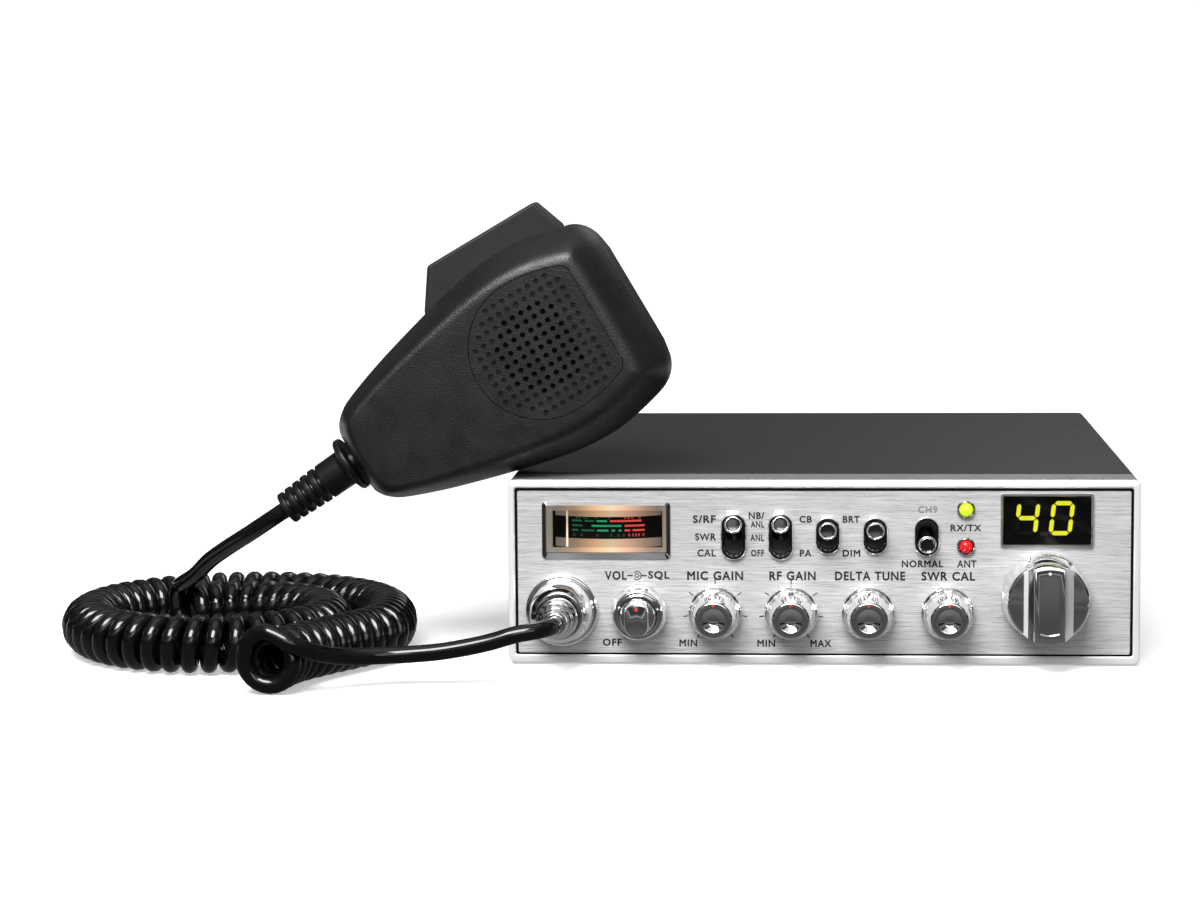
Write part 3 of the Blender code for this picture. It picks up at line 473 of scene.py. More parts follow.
def lathe(profile, steps, shape=None, closed=False, finish=None, turn=None, bm=None):
    """Spin a (radius, height) profile about z. shape changes a radius by height and angle."""
    if bm is None:
        bm = bmesh.new()
    rows, start = [], len(bm.verts)
    for r, z in profile:
        if r < 1e-6:
            rows.append([bm.verts.new((0, 0, z))])
            continue
        row = []
        for angle in (2 * pi * j / steps for j in range(steps)):
            radius = shape(r, z, angle) if shape else r
            row.append(bm.verts.new((radius * cos(angle), radius * sin(angle), z)))
        rows.append(row)
    for k, (a, b) in enumerate(zip(rows, rows[1:] + rows[:1] if closed else rows[1:])):
        for j in range(steps):
            ring = [a[j % len(a)], a[(j + 1) % len(a)], b[(j + 1) % len(b)], b[j % len(b)]]
            corners = list(dict.fromkeys(ring))
            if len(corners) > 2:
                bm.faces.new(corners).material_index = finish(k) if finish else 0
    if turn is not None:
        bm.verts.ensure_lookup_table()
        bmesh.ops.transform(bm, matrix=turn, verts=bm.verts[start:])
    return bm


def rounded(mid, size, radius, count=6):
    x, y = size[0] / 2 - radius, size[1] / 2 - radius
    points = []
    for cx, cy, start in ((x, y, 0), (-x, y, 90), (-x, -y, 180), (x, -y, 270)):
        for i in range(count + 1):
            a = radians(start + 90 * i / count)
            points.append((mid[0] + cx + radius * cos(a), mid[1] + cy + radius * sin(a)))
    return points


def loft(loops, closed=False, caps=(True, True), finish=None, bm=None):
    """Skin a list of loops of 3-D points that have the same count."""
    if bm is None:
        bm = bmesh.new()
    rows = [[bm.verts.new(p) for p in loop] for loop in loops]
    for k, (a, b) in enumerate(zip(rows, rows[1:] + rows[:1] if closed else rows[1:])):
        for i in range(len(a)):
            j = (i + 1) % len(a)
            bm.faces.new((a[i], a[j], b[j], b[i])).material_index = finish(k) if finish else 0
    for wanted, row in zip(caps, (rows[0], rows[-1])):
        if wanted and not closed:
            bm.faces.new(row)
    return bm


def level(outline, z):
    return [(x, y, z) for x, y in outline]


def plate(width, height, radius, z, at=(0, 0), count=6):
    """The outline of a rounded rectangle at a height."""
    return level(rounded(at, (width, height), radius, count), z)


def pill(width, height, z):
    """An upright outline with half-round ends, at a height."""
    return plate(width, height, width / 2 - 0.01, z, count=12)


def slab(bm, low, high):
    made = bmesh.ops.create_cube(bm, size=1.0)["verts"]
    low, high = Vector(low), Vector(high)
    bmesh.ops.scale(bm, vec=high - low, verts=made)
    bmesh.ops.translate(bm, vec=(low + high) / 2, verts=made)
    return made


def frame_ring(outer, inner, low, high):
    """A flat frame between two outlines of the same count, with eased front edges."""
    centre, lip = Vector(np.mean(outer, axis=0)), 0.25

    def eased(outline, amount):
        return [tuple(Vector(p) + (centre - Vector(p)).normalized() * amount) for p in outline]

    return loft([level(outer, low), level(outer, high - lip), level(eased(outer, lip), high),
                 level(eased(inner, -lip), high), level(inner, high - lip), level(inner, low)], closed=True)


def evaluated(ob):
    """The mesh that an object's modifiers, curve or text make."""
    bpy.context.view_layer.update()
    return bpy.data.meshes.new_from_object(ob.evaluated_get(bpy.context.evaluated_depsgraph_get()))


def cut(ob, tool, use_self=False):
    """Cut a tool out of a piece now, and remove the tool."""
    modifier = ob.modifiers.new("cut", "BOOLEAN")
    modifier.object, modifier.solver, modifier.use_self = tool, "EXACT", use_self
    mesh = evaluated(ob)
    ob.modifiers.clear()
    ob.data = mesh
    bpy.data.objects.remove(tool, do_unlink=True)


def filled(curve, merge):
    """The flat faces of a curve or a text, as a new mesh whose close points are merged."""
    holder = bpy.data.objects.new(curve.name, curve)
    bpy.context.scene.collection.objects.link(holder)
    bm = bmesh.new()
    bm.from_mesh(evaluated(holder))
    bpy.data.objects.remove(holder, do_unlink=True)
    bmesh.ops.remove_doubles(bm, verts=bm.verts, dist=merge)
    return bm


def smooth_line(points, spacing):
    """Points on a Catmull-Rom curve through the given ones, about one spacing apart."""
    points = [Vector(p) for p in points]
    ends = [2 * points[0] - points[1], *points, 2 * points[-1] - points[-2]]
    line = [points[0]]
    for a, b, c, d in zip(ends, ends[1:], ends[2:], ends[3:]):
        count = max(1, round((c - b).length / spacing))
        for i in range(1, count + 1):
            t = i / count
            line.append(0.5 * (2 * b + (c - a) * t + (2 * a - 5 * b + 4 * c - d) * t**2
                               + (3 * b - a - 3 * c + d) * t**3))
    return line


# ---- Cord ----

CORD_DIAMETER = 5.1
HELIX_RADIUS = 6.2
COIL_Z = 8.85
COIL_CENTRE = (-178.0, -76.0)
COIL_START_DEG = 135.0
COIL_SWEEP_DEG = 525
COIL_RADII = [(0, 27.0), (45, 26.0), (135, 26.0), (225, 42.0), (315, 46.0), (405, 44.4), (495, 45.6),
              (525, 51.0)]
COIL_TAIL = [(-146.4, -122.5), (-153.2, -136.0), (-156.2, -149.0)]
PLUG_ROUTE = [(-77.3, -126.5, 16.3), (-77.9, -131.0, 16.3), (-81.5, -135.4, 16.0), (-88.0, -137.0, 15.0),
              (-97.0, -137.0, 12.4), (-110.0, -137.0, 10.0), (-124.0, -138.0, 9.1), (-136.0, -143.0, 9.6),
              (-143.4, -150.4, 12.0), (-149.6, -154.4, 15.0)]
MIC_ROUTE = [(-162.1, -85.0, 44.5), (-166.8, -84.4, 41.4), (-174.0, -81.5, 36.6), (-182.0, -75.0, 31.4),
             (-189.2, -68.6, 26.2), (-194.4, -64.0, 21.2)]
TURN_POINTS = 24
WIRE_GAP = 0.05
AXIS_SPACING = 0.25
RUN_ON = (3.2, 4.4)  # past the start and the end of the curly part
SMOOTHED = 25  # points of the axis over which its direction is averaged


def coil_radius(sweep):
    """The loop's radius at a sweep angle, read smoothly from the table."""
    last = len(COIL_RADII) - 1
    k = next((i for i in range(last) if sweep <= COIL_RADII[i + 1][0]), last - 1)
    (s0, r0), (s1, r1) = COIL_RADII[k], COIL_RADII[k + 1]
    before, after = COIL_RADII[max(k - 1, 0)], COIL_RADII[min(k + 2, last)]
    slope0 = (r1 - before[1]) / (s1 - before[0])
    slope1 = (after[1] - r0) / (after[0] - s0)
    span = s1 - s0
    t = (sweep - s0) / span
    return ((2 * t**3 - 3 * t**2 + 1) * r0 + (t**3 - 2 * t**2 + t) * slope0 * span
            + (3 * t**2 - 2 * t**3) * r1 + (t**3 - t**2) * slope1 * span)


def columns(column):
    """An array of points from a function that gives each of its three columns."""
    return np.column_stack([column(i) for i in range(3)])


def coil_axis():
    """The curly part's middle line, evenly spaced, run on a little past both of its ends."""
    route, step = [], 15
    for sweep in range(0, COIL_SWEEP_DEG + 1, step):
        radius, angle = coil_radius(sweep), radians(COIL_START_DEG - sweep)
        route.append((COIL_CENTRE[0] + radius * cos(angle), COIL_CENTRE[1] + radius * sin(angle), COIL_Z))
    line = np.array(smooth_line(route + [(x, y, COIL_Z) for x, y in COIL_TAIL], 1.0))
    start, end = line[0] - line[1], line[-1] - line[-2]
    line = np.vstack([line[0] + start / np.linalg.norm(start) * RUN_ON[0], line,
                      line[-1] + end / np.linalg.norm(end) * RUN_ON[1]])
    along = np.concatenate([[0], np.cumsum(np.linalg.norm(np.diff(line, axis=0), axis=1))])
    even = np.linspace(0, along[-1], int(along[-1] / AXIS_SPACING))
    return columns(lambda i: np.interp(even, along, line[:, i])), even


def helix():
    """The curly part's wire, from the microphone end to the plug end, a little wider at its two ends."""
    axis, along = coil_axis()
    tangent = np.gradient(axis, along, axis=0)
    kernel = np.ones(SMOOTHED) / SMOOTHED
    padded = np.vstack([np.repeat(tangent[:1], SMOOTHED // 2, 0), tangent,
                        np.repeat(tangent[-1:], SMOOTHED // 2, 0)])
    tangent = columns(lambda i: np.convolve(padded[:, i], kernel, "valid"))
    tangent /= np.linalg.norm(tangent, axis=1)[:, None]
    bend = np.linalg.norm(np.gradient(tangent, along, axis=0), axis=1)
    pitch = np.clip((CORD_DIAMETER + WIRE_GAP) / (1 - 3.0 * bend), 5.2, 6.2)
    turns = np.concatenate([[0], np.cumsum(np.diff(along) / pitch[1:])])
    whole = round(turns[-1])
    turns *= whole / turns[-1]
    at = np.linspace(0, whole, whole * TURN_POINTS + 1)
    centre = columns(lambda i: np.interp(at, turns, axis[:, i]))
    heading = columns(lambda i: np.interp(at, turns, tangent[:, i]))
    side = np.column_stack([heading[:, 1], -heading[:, 0], np.zeros(len(at))])
    up = np.array([0.0, 0.0, 1.0])
    # Both end turns flare, and the wire is lifted where they would reach under the floor.
    radius = HELIX_RADIUS + 1.3 * np.exp(-at / 0.35) + 1.7 * np.exp(-(whole - at) / 0.45)
    phase = 2 * pi * at
    centre[:, 2] += np.maximum(0.0, radius + CORD_DIAMETER / 2 + 0.06 - COIL_Z)
    return centre + radius[:, None] * (np.cos(phase)[:, None] * up - np.sin(phase)[:, None] * side)


def cord_path():
    """The whole cord's middle line, from the plug to the microphone."""
    coil = helix()[::-1]
    start = np.array(smooth_line([*PLUG_ROUTE, *map(Vector, coil[:6:2])], 1.6))
    end = np.array(smooth_line([*map(Vector, coil[-5::2]), *reversed(MIC_ROUTE)], 1.6))
    cut_start = int(np.argmin(np.linalg.norm(start - coil[0], axis=1)))
    cut_end = int(np.argmin(np.linalg.norm(end - coil[-1], axis=1)))
    return np.vstack([start[:cut_start], coil, end[cut_end + 1:]])


def tube_mesh(path, radius, sides):
    """A round tube along a path, its rings turned as little as possible from one to the next."""
    tangents = np.gradient(path, axis=0)
    tangents /= np.linalg.norm(tangents, axis=1)[:, None]
    normal = Vector((0, 0, 1))
    rings = []
    for point, tangent in zip(path, tangents):
        tangent = Vector(tangent)
        normal = (normal - tangent * normal.dot(tangent)).normalized()
        across = tangent.cross(normal)
        rings.append([Vector(point) + radius * (cos(a) * normal + sin(a) * across)
                      for a in (2 * pi * i / sides for i in range(sides))])
    return loft(rings)


def make_cord():
    path = cord_path()
    cord = piece("mic_cord", tube_mesh(path, CORD_DIAMETER / 2, 12), "cord", None,
                 ("cord_plug_lead", "cord_coil", "cord_mic_lead"), smooth=80)
    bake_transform(cord)
    return float(np.linalg.norm(np.diff(path, axis=0), axis=1).sum())


# ---- Case ----


def cover_section(inset):
    """The top cover's open section, its corners rounded in fine steps."""
    side, top = COVER_HIGH.x - inset, COVER_HIGH.z - inset
    radius, count = 2.0 - inset, 8
    left = [(-side + radius - radius * cos(a), top - (radius - radius * sin(a)))
            for a in (pi / 2 * i / count for i in range(count + 1))]
    left.insert(0, (-side, COVER_LOW.z))
    return left + [(-x, z) for x, z in reversed(left)]


def make_cover():
    """The top cover, bent from one sheet, with a round bracket hole through each side."""
    sheet, hole_radius, hole_height, reach = 1.0, 2.6, 38.0, 99.0
    section = cover_section(0.0) + cover_section(sheet)[::-1]
    bm = loft([[(x, y, z) for x, z in section] for y in (COVER_LOW.y, COVER_HIGH.y)])
    cover = piece("top_cover_sheet", bm, "cover", "root", "top_cover")
    hole = lathe([(0, -reach), (hole_radius, -reach), (hole_radius, reach), (0, reach)], 24,
                 turn=Matrix.Scale(MM, 4) @ move((0, 0, hole_height)) @ spin(90, "Y"))
    bmesh.ops.recalc_face_normals(hole, faces=hole.faces)
    cut(cover, scene_object("bracket_holes", hole))
    bevelled(cover, 0.22, 2)


def repaint(node, material):
    """Give a CAD node that stays its finish."""
    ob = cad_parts[node]
    ob.data.materials.clear()
    ob.data.materials.append(M[material])
    for polygon in ob.data.polygons:
        polygon.material_index = 0


def make_bezel():
    """The chrome surround: eased front edges, a thin front rim and a deeper skirt."""
    mid, size = middle("front_bezel"), size_of("front_bezel")
    front = -box_mm("front_bezel")[0].y
    rim, lip, ease, skirt = 2.0, 3.0, 0.55, 15.0
    rings = [(0, 0, 2.0, skirt), (0, 0, 2.0, ease + 0.12), (0, 0, 2.0, ease), (0.16, 0.16, 1.85, 0.16),
             (ease, ease, 1.5, 0.0), (rim - 0.4, rim + 0.05, 1.0, 0.0), (rim, rim + 0.45, 0.8, 0.4),
             (rim, rim + 0.45, 0.8, lip), (0.9, 0.9, 1.1, lip), (0.9, 0.9, 1.1, skirt)]
    # The skirt's outer face takes a darker copy of the rim's satin chrome: painted shade on its top and
    # sides.
    bm = loft([plate(size.x - 2 * dx, size.z - 2 * dz, radius, front - depth, (0.0, mid.z))
               for dx, dz, radius, depth in rings], closed=True, finish=lambda k: 1 if k == 0 else 0)
    piece("front_bezel_rim", bm, ["rim", "rim_painted_shade"], "root", "front_bezel", where=FORWARD,
          smooth=24)


def make_gap_shade_strip():
    """A black strip laid in the gap between the panel and its surround, over the panel's edge: painted shade
    for the dark gap.
    """
    mid, size = middle("front_panel"), size_of("front_panel")
    bm = loft([plate(size.x + dx, size.z + dz, 0.5, z, (0.0, mid.z)) for dx, dz, z in (
        (0.88, 0.792, -1.2), (0.88, 0.792, 0.12), (-0.64, -0.576, 0.12), (-0.64, -0.576, 0.02),
        (0.1, 0.1, 0.02), (0.1, 0.1, -1.2))], closed=True)
    piece("panel_gap_shade_strip", bm, "dial", where=on_panel(0, 0))


# ---- Front controls ----


def flutes(count, depth, height, reach, inside=0.0):
    """A shape for lathe(): flutes round a waist, on the radii past the inside one."""

    def shape(r, z, angle):
        waist = max(0.0, 1 - abs(z - height) / reach) ** 0.5 if r > inside else 0.0
        return r - depth * waist * (0.5 + 0.5 * cos(count * angle)) ** 0.6

    return shape


def knob(body, bm, part="cap", finish="chrome"):
    """A knob's metal, which stands for its CAD node."""
    where = at_node(f"{body}_knob")
    piece(f"{body}_knob_{part}", bm, finish, body, f"{body}_knob", where=where, smooth=28)


def mark(body, paint, y, z, radius):
    """The painted dot on a knob's face."""
    bm = lathe([(0, 0.14), (radius * 0.7, 0.12), (radius, 0.0), (0, -0.05)], 20)
    piece(f"{body}_mark", bm, paint, body, where=at_node(f"{body}_knob") @ move((0, y, z)))


def make_small_knobs():
    """Four turned knobs with a dished face, a skirt and a fluted waist."""
    face = soften([(0, 16.75), (1.6, 16.95), (2.9, 17.6), (3.5, 18.0), (5.1, 18.0), (5.55, 17.55)], 0.25)
    side = soften([(5.55, 17.55), (6.3, 11.5), (6.85, 5.2), (7.2, 4.4), (7.85, 3.9), (7.85, 0.6), (7.6, 0.45),
                   (3.2, 0.45)], 0.35)
    for name in ("mic_gain", "rf_gain", "delta_tune", "swr_cal"):
        knob(name, lathe(face + side[1:], 120, flutes(20, 0.4, 7.4, 3.2)))
        mark(name, "red_dot", 4.35, 18.0, 0.42)


def make_concentric_knobs():
    """The squelch ring and, inside it, the volume knob with its raised bar."""
    ring = soften([(5.5, 4.0), (5.5, 8.4), (6.2, 9.2), (7.1, 9.2), (7.55, 8.4), (7.85, 4.6), (8.2, 3.9),
                   (8.2, 0.6), (7.95, 0.45), (3.2, 0.45), (3.2, 4.0)], 0.3)
    knob("squelch", lathe(ring, 144, flutes(24, 0.22, 6.6, 2.0, 6.9), closed=True), "ring")
    bm = lathe(soften([(0, 12.6), (4.9, 12.6), (5.25, 12.2), (5.25, 4.6), (1.7, 4.4), (1.7, -7.0), (0, -7.0)],
                      0.3), 64)
    loft([plate(7.6 - d, 10.2 - d, 2.6, z)
          for z, d in ((12.0, 0), (15.5, 0.5), (17.8, 0.8), (18.1, 1.0), (18.2, 1.5))], bm=bm)
    knob("volume", bm)
    mark("volume", "red_dot", 3.1, 18.2, 0.5)


def grip_outline(width, length, radius, z, count=8):
    """A bar whose ends follow a circle."""
    half = asin(min(0.99, width / 2 / radius))
    points = []
    for start in (pi / 2, -pi / 2):
        for i in range(count + 1):
            a = start - half + 2 * half * i / count
            points.append((radius * cos(a), radius * sin(a) * length / radius, z))
    return points


def make_channel_knob():
    """A round base with six shallow scallops, and a bar across it. The outer part of the bar's left wall is
    painted dark as shade, and its other walls take the brighter satin rim chrome as a painted highlight.
    """
    base_top, base_radius = 14.6, 10.5
    profile = soften([(0, base_top), (11.4, base_top), (12.0, 14.0), (12.4, 6.5), (12.55, 4.4), (12.9, 3.8),
                      (12.9, 0.6), (12.6, 0.45), (3.2, 0.45)], 0.35)

    def scalloped(r, z, angle):
        depth = 0.4 if r > base_radius and z > 4.2 else 0.0
        return r - depth * max(0.0, cos(6 * angle + 0.5) - 0.93) / 0.07

    bm = lathe(profile, 144, scalloped)
    before = len(bm.faces)
    loft([grip_outline(*row) for row in (
        (14.8, 11.7, 11.7, 14.3), (12.0, 11.7, 11.7, 16.3), (9.4, 11.6, 11.6, 18.3), (8.9, 11.5, 11.5, 19.4),
        (8.7, 11.4, 11.4, 19.85), (8.3, 11.1, 11.1, 20.0), (5.6, 8.9, 9.2, 20.0), (5.4, 8.7, 9.0, 19.7),
        (5.3, 8.6, 8.9, 19.25))], bm=bm)
    bm.faces.ensure_lookup_table()
    # Painted light: the left wall's outer part takes dark chrome as painted shade, and the other walls take
    # the satin rim chrome as a painted highlight.
    for face in bm.faces[before:]:
        spot = face.calc_center_median()
        wall = 14.4 < spot.z < 18.4 and abs(spot.y) < 10.6
        bright = spot.x > 0 or spot.z < 16.3
        face.material_index = 0 if not wall else 1 if bright else 2
    knob("channel", bm, finish=["chrome", "rim", "dark_chrome"])
    mark("channel", "white_dot", 9.35, 19.98, 0.5)


def make_toggles():
    """Five switches: a chrome surround with a black throat, the well behind it and a lever on its pivot."""
    tips = {"meter_switch": 18.0, "noise_switch": 18.0, "pa_switch": 9.0, "dimmer_switch": 9.0,
            "channel_nine_switch": -7.0}
    slot_w = 5.7
    lever = soften([(0, 13.55), (1.75, 13.6), (1.95, 13.75), (2.0, 14.2), (2.2, 14.3), (2.5, 14.05),
                    (2.6, 13.5), (2.5, 11.6), (1.9, 9.8), (1.55, 8.0), (1.5, 2.6), (2.6, 1.2), (2.7, -1.2),
                    (0, -2.6)], 0.12)
    for name, tilt in tips.items():
        where, size = at_node(f"{name}_bezel"), size_of(f"{name}_bezel")
        rise = size.y + 0.3
        rings = ((0, 0.3), (0, 0.75), (0.12, 1.05), (0.35, rise), (0.7, rise), (0.95, rise - 0.3),
                 ((size.x - slot_w) / 2, 0.3))
        bm = loft([pill(size.x - 2 * inset, size.z - 2 * inset, z) for inset, z in rings], closed=True,
                  finish=lambda k: 0 if k < 3 else 1)
        piece(f"{name}_surround", bm, ["chrome", "gloss_black"], "root", f"{name}_bezel",
              where=where)
        bm = loft([pill(slot_w - d, size.z - 2.0 - d, z) for z, d in ((0.25, 0.1), (-5.6, 0.3), (-5.8, 1.6))],
                  caps=(False, True))
        piece(f"{name}_well", bm, "black", where=where)
        bm = lathe(lever, 48, finish=lambda k: 1 if k < 6 else 0)
        piece(f"{name}_bat", bm, ["chrome", "gloss_black"], name, f"{name}_lever",
              where=where @ move((0, 0, -7.0)) @ spin(-tilt, "X"))


def make_lamps():
    """Two domed lamps, each held by a notched clip."""
    dome = [(1.88 * sin(a), 0.75 + 1.75 * cos(a)) for a in (pi / 2 * i / 8 for i in range(9))]
    ring = soften([(2.0, 0.3), (2.0, 1.0), (2.25, 1.35), (2.6, 1.1), (2.75, 0.3)], 0.15)

    def notched(r, z, angle):
        return r - (0.25 if r > 2.3 and cos(6 * angle) > 0.75 else 0.0)

    for name, material, slot in (("rx_tx_led", "green_lamp", "green_lens"),
                                 ("antenna_led", "red_lamp", "red_lens")):
        bm = lathe(dome + [(1.88, -2.4), (2.8, -2.6), (2.8, -3.6), (0, -3.6)], 40)
        piece(f"{name}_lens", bm, material, "root", name, where=at_node(name))
        bm = lathe(ring, 72, notched, closed=True)
        piece(f"{name}_clip", bm, "dark_chrome", where=at_node(name))


def make_display():
    """The framed window and, behind its smoked pane, the lit and the unlit bars of two digits."""
    where, size = at_node("display_window"), size_of("display_window")
    width, height = size.x - 1.5, size.z - 1.5
    bm = frame_ring(rounded((0, 0), (size.x, size.z), 0.9), rounded((0, 0), (width, height), 0.4), 0.3, 1.0)
    piece("display_frame", bm, "satin_chrome", where=where)
    bm = loft([plate(width - d, height - d, 0.4, z) for z, d in ((-0.6, 0.02), (0.55, 0.02), (0.62, 0.2))])
    piece("display_pane", bm, "smoked", "root", "display_window", where=where)
    for i, (digit, x) in enumerate((("4", -5.2), ("0", 4.9))):
        for state, material in (("lit", "digit"), ("unlit", "unlit")):
            piece(f"display_digit_{i}_{state}", digit_mesh(digit, state == "lit"), material,
                  where=where @ move((-0.5, 0.5, -1.35)) @ move((x, 0, 0)))


def digit_mesh(digit, lit_bars):
    """The lit or the unlit bars of a leaning seven-bar digit."""
    half_w, half_h, thick, lean, gap = 2.75, 4.45, 0.62, 0.11, 0.22
    bars = {"a": (0, 2, 0), "b": (1, 1, 1), "c": (1, -1, 1), "d": (0, -2, 0), "e": (-1, -1, 1),
            "f": (-1, 1, 1), "g": (0, 0, 0)}
    on = {"4": "bcfg", "0": "abcdef"}[digit]
    bm = bmesh.new()
    for key, (side, height, upright) in bars.items():
        if (key in on) != lit_bars:
            continue
        long = (half_h / 2 if upright else half_w) - gap
        x, y = side * half_w, height * half_h / 2
        shape = [(-long, 0), (-long + thick, thick), (long - thick, thick), (long, 0), (long - thick, -thick),
                 (-long + thick, -thick)]
        points = [(x + (b if upright else a), y + (a if upright else b)) for a, b in shape]
        loft([[(px + lean * py, py, z) for px, py in points] for z in (-0.1, 0.08)], bm=bm)
    return bm


# ---- Meter ----

DIAL_RADIUS = 28.5
DIAL_AXIS = -35.5  # depth of the axis of the dial and of the pointer
METER_BARS = [  # ink, height, spans along the dial
    ("dim_mark", 1.8, [(-11.0, -7.9), (-7.0, -4.0)]), ("green_mark", 1.8, [(-3.3, -0.1)]),
    ("red_mark", 1.8, [(0.7, 10.3)]), ("dim_mark", 0.35, [(-11.0, -7.6)]),
    ("green_mark", 0.35, [(-4.8, 4.2)]), ("red_mark", 0.35, [(5.1, 11.3)]),
    ("dim_mark", -1.05, [(-11.0, -9.0), (-8.0, -3.9)]),
    ("green_mark", -1.05, [(-3.1, 0.3), (1.2, 2.3), (3.3, 4.2)]),
    ("red_mark", -1.05, [(5.1, 6.8), (7.5, 11.3)]),
]
METER_FIGURES = [  # ink, height, half size, places along the dial
    ("dim_mark", 2.75, 0.36, [-9.6, -8.8, -7.4, -6.6, -3.7, 0.2]),
    ("red_mark", 2.75, 0.36, [5.0, 6.1, 7.2, 9.4]),
    ("dim_mark", -2.5, 0.4, [-10.6, -8.2, -3.4, 0.8, 3.0, 4.6]),
    ("red_mark", -2.5, 0.4, [6.2, 7.4, 8.3, 9.2, 10.6]),
]


def on_dial(x, y, lift):
    """A point on the curved dial: x is measured along its arc, y is up."""
    angle = x / DIAL_RADIUS
    reach = DIAL_RADIUS + lift
    return (reach * sin(angle), y, DIAL_AXIS + reach * cos(angle))


def dial_strip(half, low, high, front, back, bm=None):
    """A strip that follows the dial's curve, between two heights and two lifts."""
    steps = [half * (i / 16 - 1) for i in range(33)]
    corners = ((low, front), (high, front), (high, back), (low, back))
    return loft([[on_dial(x, y, lift) for y, lift in corners] for x in steps], bm=bm)


def make_meter():
    """The framed window, and behind it the lamp-lit surround and the masks above and below the dial."""
    where, size = at_node("meter_bezel"), size_of("meter_bezel")
    shift = 0.4
    bm = loft([plate(size.x, size.z, 1.1, 0.3), plate(size.x, size.z, 1.1, 0.5),
               plate(35.8, 14.3, 0.5, 1.2, (0, shift)), plate(35.8, 14.3, 0.5, 0.3, (0, shift))], closed=True)
    # The frame is one chrome. Its sides take dark chrome and its lower strip a dull grey, as painted shade;
    # the rest keeps the bright chrome.
    for face in bm.faces:
        spot = face.calc_center_median()
        face.material_index = 1 if abs(spot.x) > 17.4 else 2 if spot.y < 0 else 0
    piece("meter_frame", bm, ["chrome", "dark_chrome", "shaded_frame_chrome"], "root", "meter_bezel",
          where=where)
    bm = loft([plate(35.7, 14.2, 0.5, z, (0, shift)) for z in (-0.5, 0.5)])
    piece("meter_pane", bm, "glass", "root", "meter_window", where=where)
    bm = loft([plate(w, h, 0.4, z, (0, shift * t))
               for z, w, h, t in ((-0.6, 35.7, 14.2, 1), (-3.0, 33.4, 11.3, -0.2), (-3.2, 33.1, 11.1, -0.2),
                                  (-3.5, 34.0, 13.2, 0.4), (-9.8, 33.4, 13.2, 0.4))], caps=(False, False))
    piece("meter_lit_surround", bm, "lit_box", where=where)
    bm = dial_strip(16.4, 3.15, 6.5, 0.75, 0.2)
    dial_strip(16.4, -6.2, -3.55, 0.75, 0.2, bm)
    piece("meter_lit_mask", bm, "lit_mask", where=where)


def make_dial():
    """The curved dial with its segmented scales, and the pointer in front of it."""
    where = on_panel(middle("meter_bezel").x, 40.15)
    piece("meter_dial_face", dial_strip(15.2, -4.0, 3.6, 0.0, -0.8), "dial", "root", "meter_dial",
          where=where)
    marks = {"green_mark": [], "dim_mark": [], "red_mark": []}
    for tone, y, spans in METER_BARS:
        for x0, x1 in spans:
            count = max(1, round((x1 - x0) / 1.1))
            step = (x1 - x0) / count
            marks[tone] += [(x0 + k * step, x0 + (k + 0.94) * step, y - 0.28, y + 0.28) for k in range(count)]
    for tone, y, size, places in METER_FIGURES:
        for x in places:
            marks[tone] += [(x, x + 0.14, y - size, y + size), (x, x + 0.5, y + size - 0.14, y + size),
                            (x + 0.36, x + 0.5, y - size, y + 0.1)]
    for tone, bars in marks.items():
        bm = bmesh.new()
        for x0, x1, y0, y1 in bars:
            loft([[on_dial(x, y, lift) for x, y in ((x0, y0), (x1, y0), (x1, y1), (x0, y1))]
                  for lift in (0.02, 0.10)], bm=bm)
        piece(f"meter_scale_{tone}", bm, tone, where=where)
    tip = DIAL_AXIS + 30.0
    blade = [(-0.3, -6.0), (0.3, -6.0), (0.22, 6.2), (-0.22, 6.2)]
    bm = loft([[(x, y, tip + z) for x, y in blade] for z in (-0.12, 0.12)])
    slab(bm, (-0.3, 5.7, DIAL_AXIS - 2.0), (0.3, 6.2, tip))
    lathe([(0, 1.0), (1.2, 1.0), (1.2, -1.0), (0, -1.0)], 24, turn=move((0, 5.4, DIAL_AXIS)) @ spin(90, "X"),
          bm=bm)
    rest = move((0, 0, DIAL_AXIS)) @ spin(-24.0, "Y") @ move((0, 0, -DIAL_AXIS))
    piece("meter_pointer", bm, "needle", "needle", "meter_needle", where=where @ rest)


# ---- Microphone plug ----


def turned(name, profile, steps, body, node, where, closed=False):
    """A chrome part turned on a lathe, which stands for a CAD node."""
    bm = lathe(profile, steps, closed=closed)
    piece(name, bm, "chrome", body, node, where=where, smooth=30)


def make_plug():
    """The socket on the panel, the coupling ring that turns on it, and the plug's shell."""
    where = at_node("mic_socket")
    socket = soften([(0, 4.8), (5.4, 4.8), (5.4, 8.6), (7.2, 8.6), (7.2, 2.6), (9.3, 2.6), (9.6, 2.2),
                     (10.3, 2.2), (10.8, 1.7), (10.8, 0.35), (7.8, 0.3), (7.8, -11.0), (0, -11.0)], 0.3, 4)
    turned("mic_socket_body", socket, 96, "root", "mic_socket", where)
    ring = soften([(6.3, 13.0), (6.9, 13.0), (7.3, 12.5), (8.3, 11.0), (9.0, 8.6), (9.4, 5.2), (9.4, 3.2),
                   (9.2, 2.7), (7.7, 2.7), (7.7, 9.6), (6.3, 9.6)], 0.4, 4)
    turned("plug_coupling_nut", ring, 96, "coupling_ring", "plug_coupling_ring", where, closed=True)
    shell = soften([(0, 27.0), (2.95, 27.0), (3.5, 26.4), (3.72, 25.6), (3.75, 22.7), (4.2, 22.4),
                    (4.6, 22.0), (4.6, 18.5), (5.3, 18.1), (5.9, 17.4), (5.9, 9.2), (5.2, 9.0), (5.2, 5.4),
                    (0, 5.4)], 0.3, 4)
    turned("plug_body", shell, 80, "root", "plug_shell", where)


# ---- Printed labels ----

